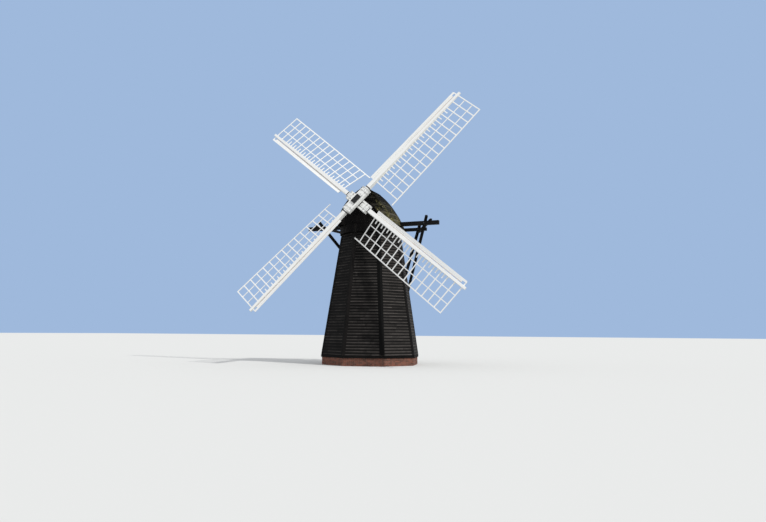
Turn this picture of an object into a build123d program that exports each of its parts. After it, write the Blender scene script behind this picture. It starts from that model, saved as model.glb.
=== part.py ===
from build123d import *
import math
import os

# A small octagonal timber smock mill that once drained marshland: a tarred, boarded tower on a
# low brick base, a boat-shaped cap that turns on the curb, a braced tailpole with its winch, and
# four white common sails without their cloths.
# Millimetres. Z is up, the origin is on the tower's axis at ground level, and at rest the sails
# face -Y. "Apothem" is the distance from the axis to the middle of one of the eight sides.

# Tower
side_count = 8
side_turn = 13.0                # how far the nearest side stands round from the front, degrees
ground_radius = 3058.0          # axis to corner of the boarding, produced down to the ground
top_radius = 1835.0             # axis to corner of the boarding at the tower's top
tower_height = 7860.0           # ground to the top of the boarding
wall_thickness = 125.0          # studs and boarding together
post_half_width = 130.0         # corner to post's edge, along the side
post_depth = 210.0
sill_height = 180.0
sill_width = 220.0
base_height = 450.0
base_thickness = 340.0          # one and a half bricks
base_setback = 20.0             # brick face behind the sill's face
floor_thickness = 120.0
corner_board_width = 150.0
corner_board_thickness = 30.0
curb_height = 140.0
curb_width = 280.0

# Doorway on the side that faces away from the sails
door_side = 4
doorway_width = 870.0
doorway_height = 1840.0
case_thickness = 90.0
case_depth = 380.0
case_proud = 20.0
leaf_thickness = 45.0
leaf_gap = 3.0
leaf_setback = 90.0

# Cap
turning_gap = 0.3               # sheers above the curb they slide on
sheer_spacing = 2300.0
sheer_width = 250.0
sheer_depth = 280.0
sheer_front = 1350.0
sheer_tail = 2260.0
roof_height = 2290.0            # sheers to ridge
roof_front_half_width = 1460.0
roof_tail_half_width = 1300.0
roof_front_bulge = 360.0        # how far each side swells out from a straight slope
roof_middle_bulge = 240.0
roof_tail_bulge = 125.0
roof_thickness = 60.0           # measured level at the eaves and upright at the ridge
roof_boards = 12                # up each side, laid as flat facets
roof_bends = 8                  # lengths in which each board follows the boat's curve
eaves_overhang = 8.0            # beyond the petticoat, at the tower's axis
gable_setback = 207.0           # front gable's foot behind the petticoat's foremost point
tail_setback = 27.0             # tail boarding's foot ahead of its hindmost point
gable_lean = 10.0
tail_lean = 20.0
gable_thickness = 40.0
board_gap = 0.3
petticoat_clearance = 25.0      # beyond the tower's corner boards
petticoat_thickness = 25.0
petticoat_overlap = 60.0        # how far it hangs below the tower's top
apron_thickness = 30.0          # board that covers the petticoat in front of the gable
apron_drip = 20.0

# Windshaft and its bearings
shaft_tilt = 19.0
hub_ahead = 2300.0              # front stock's centre ahead of the axis
hub_rise = 1320.0               # sheers' top up to the front stock's centre
shaft_radius = 190.0
neck_radius = 155.0
neck_distance = 1180.0          # front stock's centre to the middle of the neck bearing
tail_journal_radius = 85.0
tail_distance = 3620.0
shoulder_gap = 30.0             # between a bearing and the shaft's shoulders
journal_gap = 0.3
shaft_hole_gap = 30.0
bearing_beam_width = 240.0
weather_beam_depth = 300.0
weather_beam_length = 2000.0
weather_post_size = 200.0
weather_post_spacing = 1700.0
tail_beam_depth = 380.0

# Sails
sail_turn = 50.8                # the upper right sail above the horizontal, degrees
sail_radius = 8900.0
stock_gap = 320.0               # from one stock's centre to the other, along the shaft
stock_size = 250.0              # at the hub
stock_straight = 950.0          # each way from the hub before the taper
stock_tip_width = 150.0
stock_tip_depth = 110.0
bay_count = 14
heel_distance = 1590.0          # first bar from the shaft's axis
frame_end_margin = 190.0        # last bar from the stock's tip
lattice_width = 1820.0          # stock's centre line to the hemlath's outer edge
heel_weather = 18.5             # twist of the frame at the heel, degrees
tip_weather = 5.5
bar_width = 48.0
bar_thickness = 26.0
uplong_count = 2
uplong_width = 34.0
uplong_thickness = 22.0
uplong_lap = 6.0                # let into the bars' backs
hemlath_width = 50.0
hemlath_thickness = 34.0
hemlath_overrun = 430.0         # hemlath's inner end past the first bar
leading_width = 370.0           # stock's centre line to the leading board's edge
leading_thickness = 24.0
leading_heel = 1550.0
leading_tip_margin = 190.0
canister_length = 560.0
canister_wall = 52.0
canister_cheek = 34.0           # thinner at the sides, where the clamps run past
canister_neck_radius = 235.0
canister_neck_length = 130.0
clamp_reach = 890.0             # each way from the hub, past the canister's cheeks
clamp_thickness = 118.0
clamp_depth = 215.0

# Cross-beams, braces, tailpole and winch
beam_depth = 240.0
long_beam_half_length = 4300.0
short_beam_depth = 200.0
short_beam_half_length = 2850.0
short_beam_distance = 2100.0
brace_size = 150.0
brace_notch = 60.0
brace_head = 430.0
long_brace_reach = 3400.0
long_brace_foot_drop = 5680.0   # sheers' top down to the braces' foot
short_brace_reach = 2300.0
short_brace_foot_drop = 4540.0
tie_size = 140.0
tie_reach = 3850.0
tie_tail_reach = 2300.0
tie_notch = 23.0
pole_size = 250.0
pole_distance = 6000.0
pole_foot_height = 900.0
drum_radius = 90.0
drum_clearance = 20.0
drum_end_gap = 2.0
drum_above_foot = 300.0
cheek_length = 380.0
cheek_proud = 110.0             # beyond the drum's centre
cheek_thickness = 60.0
axle_radius = 18.0
axle_gap = 0.3
crank_radius = 300.0
crank_width = 45.0
crank_thickness = 14.0
crank_grip = 240.0
grip_radius = 16.0

# What follows from the sizes above
side_angle = 360.0 / side_count
half_angle = math.radians(side_angle / 2)
curb_top = tower_height + curb_height
sheer_bottom = curb_top + turning_gap
eaves = sheer_bottom + sheer_depth
hub = (0, -hub_ahead, eaves + hub_rise)
tilt = math.radians(shaft_tilt)
shaft_plane = Plane(origin=hub, x_dir=(1, 0, 0), z_dir=(0, -math.cos(tilt), math.sin(tilt)))
bay = (sail_radius - frame_end_margin - heel_distance) / bay_count
journal_length = bearing_beam_width + 2 * shoulder_gap


def corner_radius(height):
    return ground_radius - (ground_radius - top_radius) * height / tower_height


def side_direction(index):
    return -90 + side_turn + side_angle * index


def octagon(radius):
    return RegularPolygon(radius, side_count, rotation=side_direction(0) + side_angle / 2)


def octagon_ring(outer, width, bottom, height):
    inner = outer - width / math.cos(half_angle)
    return Pos(0, 0, bottom) * extrude(octagon(outer) - octagon(inner), height)


def timber(start, end, width, depth, up=(0, 0, 1)):
    # A straight timber between two points: its depth lies along up, its width across it.
    run = Vector(*end) - Vector(*start)
    across = Vector(*up).cross(run)
    return extrude(Plane(origin=start, x_dir=across, z_dir=run) * Rectangle(width, depth), run.length)


def flat_face(*points):
    return make_face(Polyline(*points, close=True)).face()


def flat_sided(lower, upper):
    # A solid with flat faces between two matching outlines whose edges run parallel.
    outlines = [lower, upper]
    for quad in zip(lower, lower[1:] + lower[:1], upper[1:] + upper[:1], upper):
        outlines.append(quad)
    return Solid(Shell([flat_face(*outline) for outline in outlines]))


def battered(outline, bottom, top):
    # Joins the same outline at two heights, where outline(height) gives its plan points.
    lower = [(x, y, bottom) for x, y in outline(bottom)]
    upper = [(x, y, top) for x, y in outline(top)]
    return flat_sided(lower, upper)


# Tower
def wall_outline(height):
    apothem = corner_radius(height) * math.cos(half_angle)
    half_length = corner_radius(height) * math.sin(half_angle) - post_half_width
    inner = apothem - wall_thickness
    return [(inner, -half_length), (apothem, -half_length), (apothem, half_length), (inner, half_length)]


def along_sides(radius, reach, depth):
    # The point beside a corner: reach back along a side, then depth inwards from it.
    x = radius - reach * math.sin(half_angle) - depth * math.cos(half_angle)
    y = reach * math.cos(half_angle) - depth * math.sin(half_angle)
    return (x, y)


def mirrored(points):
    # Completes a plan outline that is symmetrical about the corner's own radius.
    return points + [(x, -y) for x, y in reversed(points) if y]


def post_outline(height):
    radius = corner_radius(height)
    edge = along_sides(radius, post_half_width, 0)
    back = along_sides(radius, post_half_width, post_depth)
    return mirrored([(radius, 0), edge, back])


def corner_board_outline(height):
    radius = corner_radius(height)
    outer_radius = radius + corner_board_thickness / math.cos(half_angle)
    outer = along_sides(radius, corner_board_width, -corner_board_thickness)
    inner = along_sides(radius, corner_board_width, 0)
    return mirrored([(outer_radius, 0), outer, inner, (radius, 0)])


def at_side(index):
    return Rot(Z=side_direction(index))


def at_corners():
    return [Rot(Z=side_direction(index) + side_angle / 2) for index in range(side_count)]


sill_radius = corner_radius(base_height + sill_height)
sill_apothem = sill_radius * math.cos(half_angle)
wall_bottom = base_height + sill_height
case_height = doorway_height + case_thickness
case_outer = sill_apothem + case_proud


def doorway_block(width, height, near, far):
    # A box through the door's side, standing on the floor, between two distances from the axis.
    size = Box(far - near, width, height, align=(Align.MIN, Align.CENTER, Align.MIN))
    return at_side(door_side) * Pos(near, 0, floor_thickness) * size


def doorway_cut(width, height):
    return doorway_block(width, height, case_inner - case_depth, case_outer + case_depth)


case_width = doorway_width + 2 * case_thickness
case_inner = case_outer - case_depth
door_hole = doorway_cut(case_width, case_height)


def make_walls():
    slab = battered(wall_outline, wall_bottom, tower_height)
    walls = {}
    for index in range(side_count):
        wall = at_side(index) * slab
        walls[f"wall_{index + 1}"] = wall - door_hole if index == door_side else wall
    return walls


def make_ground_floor():
    room = octagon(sill_radius - (base_setback + base_thickness) / math.cos(half_angle))
    floor = extrude(room, floor_thickness)
    length = base_thickness + case_depth
    tongue = Box(length, case_width, floor_thickness, align=(Align.MAX, Align.CENTER, Align.MIN))
    return floor + at_side(door_side) * Pos(sill_apothem - base_setback, 0, 0) * tongue


def make_brick_base(floor):
    outer = sill_radius - base_setback / math.cos(half_angle)
    return octagon_ring(outer, base_thickness, 0, base_height) - door_hole - floor


def make_door_case():
    outer = doorway_block(case_width, case_height, case_inner, case_outer)
    return outer - doorway_cut(doorway_width, doorway_height)


def make_door():
    width = doorway_width - 2 * leaf_gap
    height = doorway_height - leaf_gap
    face = case_outer - leaf_setback
    return doorway_block(width, height, face - leaf_thickness, face)


def make_curb():
    outer = top_radius * math.cos(half_angle)
    ring = Circle(outer) - Circle(outer - curb_width)
    return Pos(0, 0, tower_height) * extrude(ring, curb_height)


# Cap
petticoat_bottom = tower_height - petticoat_overlap
corner_board_radius = corner_radius(petticoat_bottom) + corner_board_thickness / math.cos(half_angle)
petticoat_radius = corner_board_radius + petticoat_clearance + petticoat_thickness
gable_foot = petticoat_radius - gable_setback
tail_foot = petticoat_radius - tail_setback


def make_sheers():
    length = sheer_front + sheer_tail
    sheer = Box(sheer_width, length, sheer_depth, align=(Align.CENTER, Align.MIN, Align.MIN))
    return [Pos(side * sheer_spacing / 2, -sheer_front, sheer_bottom) * sheer for side in (-1, 1)]


def cross_beam(half_length, behind, depth):
    beam = Box(2 * half_length, depth, depth, align=(Align.CENTER, Align.CENTER, Align.MIN))
    return Pos(0, behind, eaves) * beam


def fair_curve(behind, front, middle, tail):
    # The parabola through a size's values at the gable's foot, the tower's axis and the tail's foot.
    ahead = behind + gable_foot
    short = behind - tail_foot
    roof_length = gable_foot + tail_foot
    from_front = front * behind * short / (gable_foot * roof_length)
    from_middle = -middle * ahead * short / (gable_foot * tail_foot)
    return from_front + from_middle + tail * ahead * behind / (tail_foot * roof_length)


def roof_section(behind, inset):
    # Points from the right eaves over the ridge to the left eaves: two arcs that meet at the ridge.
    middle_half_width = petticoat_radius + eaves_overhang
    half = fair_curve(behind, roof_front_half_width, middle_half_width, roof_tail_half_width) - inset
    bulge = fair_curve(behind, roof_front_bulge, roof_middle_bulge, roof_tail_bulge)
    height = roof_height - inset
    right = SagittaArc((half, 0), (0, height), -bulge)
    plane = Plane(origin=(0, behind, eaves), x_dir=(1, 0, 0), z_dir=(0, -1, 0))
    climb = [right @ (step / roof_boards) for step in range(roof_boards + 1)]
    outline = [(point.X, point.Y) for point in climb]
    outline += [(-x, y) for x, y in reversed(outline[:-1])]
    return [tuple(plane.from_local_coords((x, y, 0))) for x, y in outline]


def roof_body(inset):
    # Flat facets over a grid of points, closed by the two ends and the flat underside.
    spacing = (gable_foot + tail_foot) / roof_bends
    sections = [roof_section(spacing * step - gable_foot, inset) for step in range(roof_bends + 1)]
    faces = [flat_face(*sections[0]), flat_face(*sections[-1])]
    for near, far in zip(sections, sections[1:]):
        for a, b, c, d in zip(near, near[1:], far[1:], far):
            faces += [flat_face(a, b, c), flat_face(a, c, d)]
    rights = [section[0] for section in sections]
    lefts = [section[-1] for section in sections]
    faces.append(flat_face(*rights, *reversed(lefts)))
    return Solid(Shell(faces))


def leaning_plane(foot, lean, inset):
    # Rises from the eaves and leans towards the tower's axis; foot is signed, minus at the front.
    away = math.copysign(1, foot)
    angle = math.radians(lean)
    normal = (0, away * math.cos(angle), math.sin(angle))
    plane = Plane(origin=(0, foot, eaves), x_dir=(1, 0, 0), z_dir=normal)
    return plane.offset(-inset)


def between_planes(body, outer, inner):
    return split(split(body, outer, keep=Keep.BOTTOM), inner, keep=Keep.TOP)


def trim_ends(body):
    body = split(body, leaning_plane(-gable_foot, gable_lean, 0), keep=Keep.BOTTOM)
    return split(body, leaning_plane(tail_foot, tail_lean, 0), keep=Keep.BOTTOM)


def make_gable(foot, lean):
    body = roof_body(roof_thickness + board_gap)
    return between_planes(body, leaning_plane(foot, lean, 0), leaning_plane(foot, lean, gable_thickness))


def along_shaft(distance, radius, length):
    # A cylinder on the windshaft's axis, its front end this far behind the front stock's centre.
    cylinder = Cylinder(radius, length, align=(Align.CENTER, Align.CENTER, Align.MAX))
    return shaft_plane.location * Pos(0, 0, -distance) * cylinder


def make_petticoat(passing):
    ring = Circle(petticoat_radius) - Circle(petticoat_radius - petticoat_thickness)
    skirt = Pos(0, 0, petticoat_bottom) * extrude(ring, eaves - petticoat_bottom)
    for piece in passing:
        skirt -= piece
    return skirt


def make_apron():
    disc = extrude(Circle(petticoat_radius + apron_drip), apron_thickness)
    return split(Pos(0, 0, eaves) * disc, leaning_plane(-gable_foot, gable_lean, 0), keep=Keep.TOP)


def make_bearing_beam(length, depth, distance, journal):
    beam = Box(length, depth, bearing_beam_width, align=(Align.CENTER, Align.MAX, Align.CENTER))
    seat = Cylinder(journal + journal_gap, journal_length)
    return shaft_plane.location * Pos(0, 0, -distance) * (beam - seat)


def make_weather_posts(beam):
    behind = beam.center().Y
    size = extrude(Rectangle(weather_post_size, weather_post_size), roof_height)
    posts = []
    for side in (-1, 1):
        post = Pos(side * weather_post_spacing / 2, behind, eaves) * size
        posts.append((post - beam).solids().sort_by(Axis.Z)[0])
    return posts


# Sails
def make_windshaft():
    start = stock_gap + stock_size / 2 + canister_wall + canister_neck_length
    neck_start = neck_distance - journal_length / 2
    tail_start = tail_distance - journal_length / 2
    shaft = along_shaft(start, shaft_radius, neck_start - start)
    shaft += along_shaft(neck_start, neck_radius, journal_length)
    shaft += along_shaft(neck_start + journal_length, shaft_radius, tail_start - neck_start - journal_length)
    return shaft + along_shaft(tail_start, tail_journal_radius, journal_length)


def stock_section(distance, width, depth):
    return [(distance, y * width / 2, z * depth / 2) for y, z in ((-1, -1), (1, -1), (1, 1), (-1, 1))]


def make_stock():
    root = stock_section(stock_straight, stock_size, stock_size)
    arm = flat_sided(root, stock_section(sail_radius, stock_tip_width, stock_tip_depth))
    return Box(2 * stock_straight, stock_size, stock_size) + arm + Rot(Z=180) * arm


def weather(distance):
    heel_to_tip = (distance - heel_distance) / (bay * bay_count)
    return heel_weather + (tip_weather - heel_weather) * heel_to_tip


def frame_point(distance, across, behind=0):
    # A point of the twisted sail frame: across is measured from the stock to the trailing side.
    angle = math.radians(weather(distance))
    y = -across * math.cos(angle) + behind * math.sin(angle)
    z = -across * math.sin(angle) - behind * math.cos(angle)
    return (distance, y, z)


def frame_timber(across, behind, start, width, thickness):
    end = heel_distance + bay * bay_count + bar_width / 2
    middle = math.radians(weather((start + end) / 2))
    up = (0, -math.sin(middle), math.cos(middle))
    return timber(frame_point(start, across, behind), frame_point(end, across, behind), width, thickness, up)


def make_lattice(stock):
    bar = Box(bar_width, lattice_width, bar_thickness, align=(Align.CENTER, Align.MAX, Align.CENTER))
    lattice = []
    for index in range(bay_count + 1):
        distance = heel_distance + bay * index
        lattice.append(Pos(distance, 0, 0) * Rot(X=weather(distance)) * bar)
    behind = (bar_thickness + uplong_thickness) / 2 - uplong_lap
    start = heel_distance - bar_width / 2
    spacing = lattice_width / (uplong_count + 1)
    for index in range(uplong_count):
        lattice.append(frame_timber(spacing * (index + 1), behind, start, uplong_width, uplong_thickness))
    hem = lattice_width - hemlath_width / 2
    lattice.append(frame_timber(hem, 0, heel_distance - hemlath_overrun, hemlath_width, hemlath_thickness))
    return Part() + lattice - stock


def make_leading_board(stock):
    sections = []
    for distance in (leading_heel, sail_radius - leading_tip_margin):
        plane = Plane(origin=(distance, 0, 0), x_dir=(0, 1, 0), z_dir=(1, 0, 0))
        board = Rectangle(leading_width, leading_thickness, align=(Align.MIN, Align.CENTER))
        sections.append(plane * Rot(Z=weather(distance)) * board)
    return loft(sections, ruled=True) - stock


def make_canister(stock):
    depth = stock_size + 2 * canister_wall
    box = Box(canister_length, stock_size + 2 * canister_cheek, depth)
    shell = box + Pos(0, 0, -stock_gap) * Rot(Z=90) * box
    neck = extrude(Circle(canister_neck_radius), -canister_neck_length)
    shell += Pos(0, 0, -stock_gap - depth / 2) * neck
    return shell - stock - Pos(0, 0, -stock_gap) * Rot(Z=90) * stock


def make_clamps():
    clamp = Box(2 * clamp_reach, clamp_thickness, clamp_depth)
    across = (stock_size + clamp_thickness) / 2 + canister_cheek
    return [Pos(0, side * across, 0) * clamp for side in (-1, 1)]


def sail_place(index):
    # Sails count anticlockwise from the upper right one; every other one is on the back stock.
    depth = 0 if index % 2 == 0 else -stock_gap
    return shaft_plane.location * Rot(Z=sail_turn + 90 * index) * Pos(0, 0, depth)


# Tailpole and braces
pole_top = (0, short_beam_distance, eaves)
pole_foot = (0, pole_distance, pole_foot_height)


def pole_point(drop):
    # The point on the tailpole's centre line this far below the sheers' top.
    share = drop / (eaves - pole_foot_height)
    return (0, short_beam_distance + share * (pole_distance - short_beam_distance), eaves - drop)


def make_tailpole():
    run = Vector(*pole_foot) - Vector(*pole_top)
    start = Vector(*pole_top) - run.normalized() * pole_size
    pole = timber(tuple(start), pole_foot, pole_size, pole_size)
    return split(pole, Plane.XY.offset(eaves), keep=Keep.BOTTOM)


def make_braces(reach, behind, depth, foot_drop, beam, pole):
    seat = behind + depth / 2 - brace_notch + brace_size / 2
    foot = Vector(*pole_point(foot_drop))
    pair = []
    for side in (-1, 1):
        head = Vector(side * reach, seat, eaves + depth)
        top = head + (head - foot).normalized() * brace_head
        brace = timber(tuple(foot), tuple(top), brace_size, brace_size) - beam - pole
        pair.append(brace.solids().sort_by(SortBy.VOLUME)[-1])
    return pair


def make_ties(long_beam, short_beam):
    tie_rise = tie_size / 2 - tie_notch
    pair = []
    for side in (-1, 1):
        start = (side * tie_reach, -beam_depth / 2, eaves + beam_depth + tie_rise)
        end = (side * tie_tail_reach, short_beam_distance + short_beam_depth / 2, eaves - tie_rise)
        tie = timber(start, end, tie_size, tie_size) - long_beam - short_beam
        pair.append(tie.solids().sort_by(SortBy.VOLUME)[-1])
    return pair


def winch_place():
    # The drum's centre, on the outer side of the tailpole near its foot, with Z down the pole.
    run = Vector(*pole_foot) - Vector(*pole_top)
    plane = Plane(origin=pole_foot, x_dir=(1, 0, 0), z_dir=run.normalized())
    return plane.location * Pos(0, -pole_size / 2 - drum_clearance - drum_radius, -drum_above_foot)


def across_pole(radius, length):
    return Cylinder(radius, length, rotation=(0, 90, 0))


def make_winch_cheeks():
    height = cheek_proud + drum_radius + drum_clearance + pole_size
    size = Box(cheek_thickness, height, cheek_length, align=(Align.CENTER, Align.MIN, Align.CENTER))
    cheeks = []
    for side in (-1, 1):
        x = side * (pole_size + cheek_thickness) / 2
        axle_hole = Pos(x, 0, 0) * across_pole(axle_radius + axle_gap, cheek_thickness)
        cheeks.append(winch_place() * (Pos(x, -cheek_proud, 0) * size - axle_hole))
    return cheeks


def make_winch_drum():
    cheek_face = pole_size / 2 + cheek_thickness
    drum = across_pole(drum_radius, pole_size - 2 * drum_end_gap)
    drum += across_pole(axle_radius, 2 * (cheek_face + crank_thickness + drum_end_gap))
    for side in (-1, 1):
        arm_place = Pos(side * (cheek_face + drum_end_gap + crank_thickness / 2), 0, 0)
        arm = Box(crank_thickness, crank_width, crank_radius, align=(Align.CENTER, Align.CENTER, Align.MIN))
        grip_place = Pos(side * (cheek_face + crank_thickness + crank_grip / 2), 0, crank_radius)
        crank = arm_place * arm + grip_place * across_pole(grip_radius, crank_grip)
        drum += crank if side > 0 else Rot(X=180) * crank
    return winch_place() * drum


def save(name, shape):
    solids = shape if isinstance(shape, (list, ShapeList)) else [shape]
    parts = []
    for solid in solids:
        parts += solid.solids()
    export_step(Compound(children=parts), os.path.join("parts", name + ".step"))


def main():
    os.makedirs("parts", exist_ok=True)
    nodes = make_walls()
    nodes["ground_floor"] = make_ground_floor()
    nodes["brick_base"] = make_brick_base(nodes["ground_floor"])
    nodes["sill"] = octagon_ring(sill_radius, sill_width, base_height, sill_height) - door_hole
    post = battered(post_outline, wall_bottom, tower_height)
    nodes["corner_posts"] = [corner * post for corner in at_corners()]
    strip = battered(corner_board_outline, wall_bottom, tower_height)
    nodes["corner_boards"] = [corner * strip for corner in at_corners()]
    nodes["curb"] = make_curb()
    nodes["door_case"] = make_door_case()
    nodes["door"] = make_door()

    sheers = make_sheers()
    long_beam = cross_beam(long_beam_half_length, 0, beam_depth)
    short_beam = cross_beam(short_beam_half_length, short_beam_distance, short_beam_depth)
    pole = make_tailpole()
    nodes["sheers"] = sheers
    nodes["long_beam"] = long_beam
    nodes["short_beam"] = short_beam
    nodes["tailpole"] = pole
    nodes["winch_cheeks"] = make_winch_cheeks()
    nodes["winch_drum"] = make_winch_drum()
    nodes["long_braces"] = make_braces(long_brace_reach, 0, beam_depth, long_brace_foot_drop, long_beam, pole)
    nodes["short_braces"] = make_braces(
        short_brace_reach, short_beam_distance, short_beam_depth, short_brace_foot_drop, short_beam, pole
    )
    nodes["beam_ties"] = make_ties(long_beam, short_beam)
    nodes["cap_roof"] = trim_ends(roof_body(0) - roof_body(roof_thickness)) - long_beam
    shaft_hole = along_shaft(0, shaft_radius + shaft_hole_gap, tail_distance)
    nodes["cap_front"] = make_gable(-gable_foot, gable_lean) - shaft_hole
    nodes["cap_tail"] = make_gable(tail_foot, tail_lean)
    nodes["cap_apron"] = make_apron()
    nodes["petticoat"] = make_petticoat(sheers + [pole])
    weather_beam = make_bearing_beam(weather_beam_length, weather_beam_depth, neck_distance, neck_radius)
    nodes["weather_beam"] = weather_beam
    nodes["weather_posts"] = make_weather_posts(weather_beam)
    between_sheers = sheer_spacing - sheer_width
    tail_beam = make_bearing_beam(between_sheers, tail_beam_depth, tail_distance, tail_journal_radius)
    nodes["tail_beam"] = tail_beam

    nodes["windshaft"] = make_windshaft()
    stock = make_stock()
    nodes["front_stock"] = sail_place(0) * stock
    nodes["back_stock"] = sail_place(1) * stock
    nodes["canister"] = sail_place(0) * make_canister(stock)
    clamps = make_clamps()
    nodes["stock_clamps"] = [sail_place(index) * clamp for index in (0, 1) for clamp in clamps]
    lattice = make_lattice(stock)
    board = make_leading_board(stock)
    for index in range(4):
        nodes[f"sail_lattice_{index + 1}"] = sail_place(index) * lattice
        nodes[f"leading_board_{index + 1}"] = sail_place(index) * board

    for name, shape in nodes.items():
        save(name, shape)


main()
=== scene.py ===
import math
import random

import bmesh
import bpy
import numpy as np
from mathutils import Matrix, Vector


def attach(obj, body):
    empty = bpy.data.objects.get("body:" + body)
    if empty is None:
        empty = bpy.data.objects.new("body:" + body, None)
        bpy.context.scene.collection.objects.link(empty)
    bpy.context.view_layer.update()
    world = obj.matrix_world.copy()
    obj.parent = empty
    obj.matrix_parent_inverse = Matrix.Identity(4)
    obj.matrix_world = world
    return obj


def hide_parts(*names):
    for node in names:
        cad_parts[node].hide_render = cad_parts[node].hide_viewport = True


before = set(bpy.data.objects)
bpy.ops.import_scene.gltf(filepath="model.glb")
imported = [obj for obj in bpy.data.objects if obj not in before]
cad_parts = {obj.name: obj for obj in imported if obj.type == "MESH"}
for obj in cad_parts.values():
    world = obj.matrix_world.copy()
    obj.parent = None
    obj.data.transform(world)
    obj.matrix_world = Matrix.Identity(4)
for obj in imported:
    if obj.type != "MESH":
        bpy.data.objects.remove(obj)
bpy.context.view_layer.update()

# Sizes that the CAD part also has
SIDES, SIDE_TURN = 8, math.radians(13.0)
GROUND_RADIUS, TOP_RADIUS, TOWER_HEIGHT = 3.058, 1.835, 7.860
BASE_HEIGHT, BASE_SETBACK, WALL_FOOT = 0.450, 0.020, 0.630
DOOR_SIDE, DOORWAY_WIDTH, DOORWAY_HEIGHT, FLOOR = 4, 0.870, 1.840, 0.120
CASE_THICKNESS, CASE_PROUD, DOOR_DEPTH = 0.090, 0.020, 0.090
EAVES, ROOF_HEIGHT = 8.2803, 2.290
ROOF_HALF_WIDTHS = 1.460, 1.9348, 1.300     # at the gable, the tower's axis and the tail
ROOF_BULGES = 0.360, 0.240, 0.125
GABLE_FOOT, TAIL_FOOT = 1.7198, 1.8998
GABLE_SLOPE, TAIL_SLOPE = math.tan(math.radians(10.0)), math.tan(math.radians(20.0))
HUB, SHAFT_TILT, SAIL_TURN = Vector((0.0, -2.300, 9.6003)), math.radians(19.0), math.radians(50.8)
STOCK_GAP, STOCK_SIZE = 0.320, 0.250
CLAMP_THICKNESS, CLAMP_DEPTH = 0.118, 0.215
CANISTER_CHEEK, CANISTER_WALL, CANISTER_LENGTH = 0.034, 0.052, 0.560
BAYS, HEEL, FRAME_LENGTH, LATTICE_WIDTH = 14, 1.590, 7.109, 1.820
HEEL_WEATHER, TIP_WEATHER = math.radians(18.5), math.radians(5.5)
LEADING_WIDTH, LEADING_HEEL, LEADING_END = 0.370, 1.550, 8.710
POLE_TOP, POLE_FOOT, POLE_SIZE = Vector((0.0, 2.100, EAVES)), Vector((0.0, 6.000, 0.900)), 0.250
BRACE_SIZE, LONG_REACH, SHORT_REACH = 0.150, 3.400, 2.300
DRUM_RADIUS, DRUM_CENTRE = 0.090, Vector((0.0, 6.0676, 1.2750))

HALF_ANGLE = math.pi / SIDES
TAPER = (GROUND_RADIUS - TOP_RADIUS) / TOWER_HEIGHT
BATTER = math.atan(TAPER * math.cos(HALF_ANGLE))
OPENING_WIDTH = DOORWAY_WIDTH + 2 * CASE_THICKNESS
OPENING_TOP = FLOOR + DOORWAY_HEIGHT + CASE_THICKNESS
ROOF_TOP = EAVES + ROOF_HEIGHT

# Sizes of the boards on the roof, from the lower edge to the upper, and of the bow beside the hub
STRAKES, STRAKE_LIP, STRAKE_TOP = 15, 0.026, 0.008
BOW_SWELL, BOW_SWELL_TOP = 0.150, 9.30
BOW_SILL, BOW_HEEL = (0.320, 9.690), (1.420, 8.620)     # its lower edge, from the shaft out to the rim
GRAIN_STARTS, BOARD_STARTS = 40, 60     # metres of grain in which a piece, or a laid board, may start
UPRIGHT = np.array(((0.0, 0.0, 1.0), (1.0, 0.0, 0.0), (0.0, 1.0, 0.0)))

# Kinds of node, some with their operation
MIX, REMAP, NOISE = "ShaderNodeMix", "ShaderNodeMapRange", "ShaderNodeTexNoise"
COMBINE, SEPARATE, RANDOM = "ShaderNodeCombineXYZ", "ShaderNodeSeparateXYZ", "FunctionNodeRandomValue"
POSITION, STORE = "GeometryNodeInputPosition", "GeometryNodeStoreNamedAttribute"
STORED, INDEX = "GeometryNodeInputNamedAttribute", "GeometryNodeInputIndex"
CUBE, LINE, JOIN = "GeometryNodeMeshCube", "GeometryNodeMeshLine", "GeometryNodeJoinGeometry"
SET, MOVE = "GeometryNodeSetPosition", "GeometryNodeTransform"
COPY, REALIZE = "GeometryNodeInstanceOnPoints", "GeometryNodeRealizeInstances"
PLUS, MINUS, TIMES, OVER, TIMES_PLUS, WHOLE, REMAINDER = (
    "ShaderNodeMath " + operation
    for operation in ("ADD", "SUBTRACT", "MULTIPLY", "DIVIDE", "MULTIPLY_ADD", "FLOOR", "MODULO"))
ABSOLUTE, SINE, COSINE, LESSER, GREATER, BELOW, EQUAL = (
    "ShaderNodeMath " + operation
    for operation in ("ABSOLUTE", "SINE", "COSINE", "MINIMUM", "MAXIMUM", "LESS_THAN", "COMPARE"))


def linear(hex_colour):
    values = [int(hex_colour[i:i + 2], 16) / 255 for i in (1, 3, 5)]
    return tuple(v / 12.92 if v <= 0.04045 else ((v + 0.055) / 1.055) ** 2.4 for v in values) + (1.0,)


def add(tree, kind, *inputs, **named):
    """Adds a node. Its inputs are filled, linked, or linked to each node of a list. They come in order,
    or by name with a capital first and _ for a space. The other names are its settings."""
    kind, _, operation = kind.partition(" ")
    node = tree.nodes.new(kind)
    if operation:
        node.operation = operation
    sockets = dict(enumerate(inputs))
    for name, value in named.items():
        if name[0].isupper():
            sockets[name.replace("_", " ")] = value
        else:
            setattr(node, name, value)
    for key, values in sockets.items():
        for value in values if isinstance(values, list) else [values]:
            if isinstance(value, bpy.types.Node):
                value = next(socket for socket in value.outputs if socket.enabled)
            if isinstance(value, bpy.types.NodeSocket):
                tree.links.new(value, node.inputs[key])
            else:
                node.inputs[key].default_value = value
    return node


# Finishes
def start_material(name):
    """A new material, its tree and a place in the piece's own coordinates."""
    material = bpy.data.materials.new(name)
    material.use_nodes = True
    material.node_tree.nodes.clear()
    return material, material.node_tree, add(material.node_tree, "ShaderNodeTexCoord").outputs["Object"]


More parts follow.
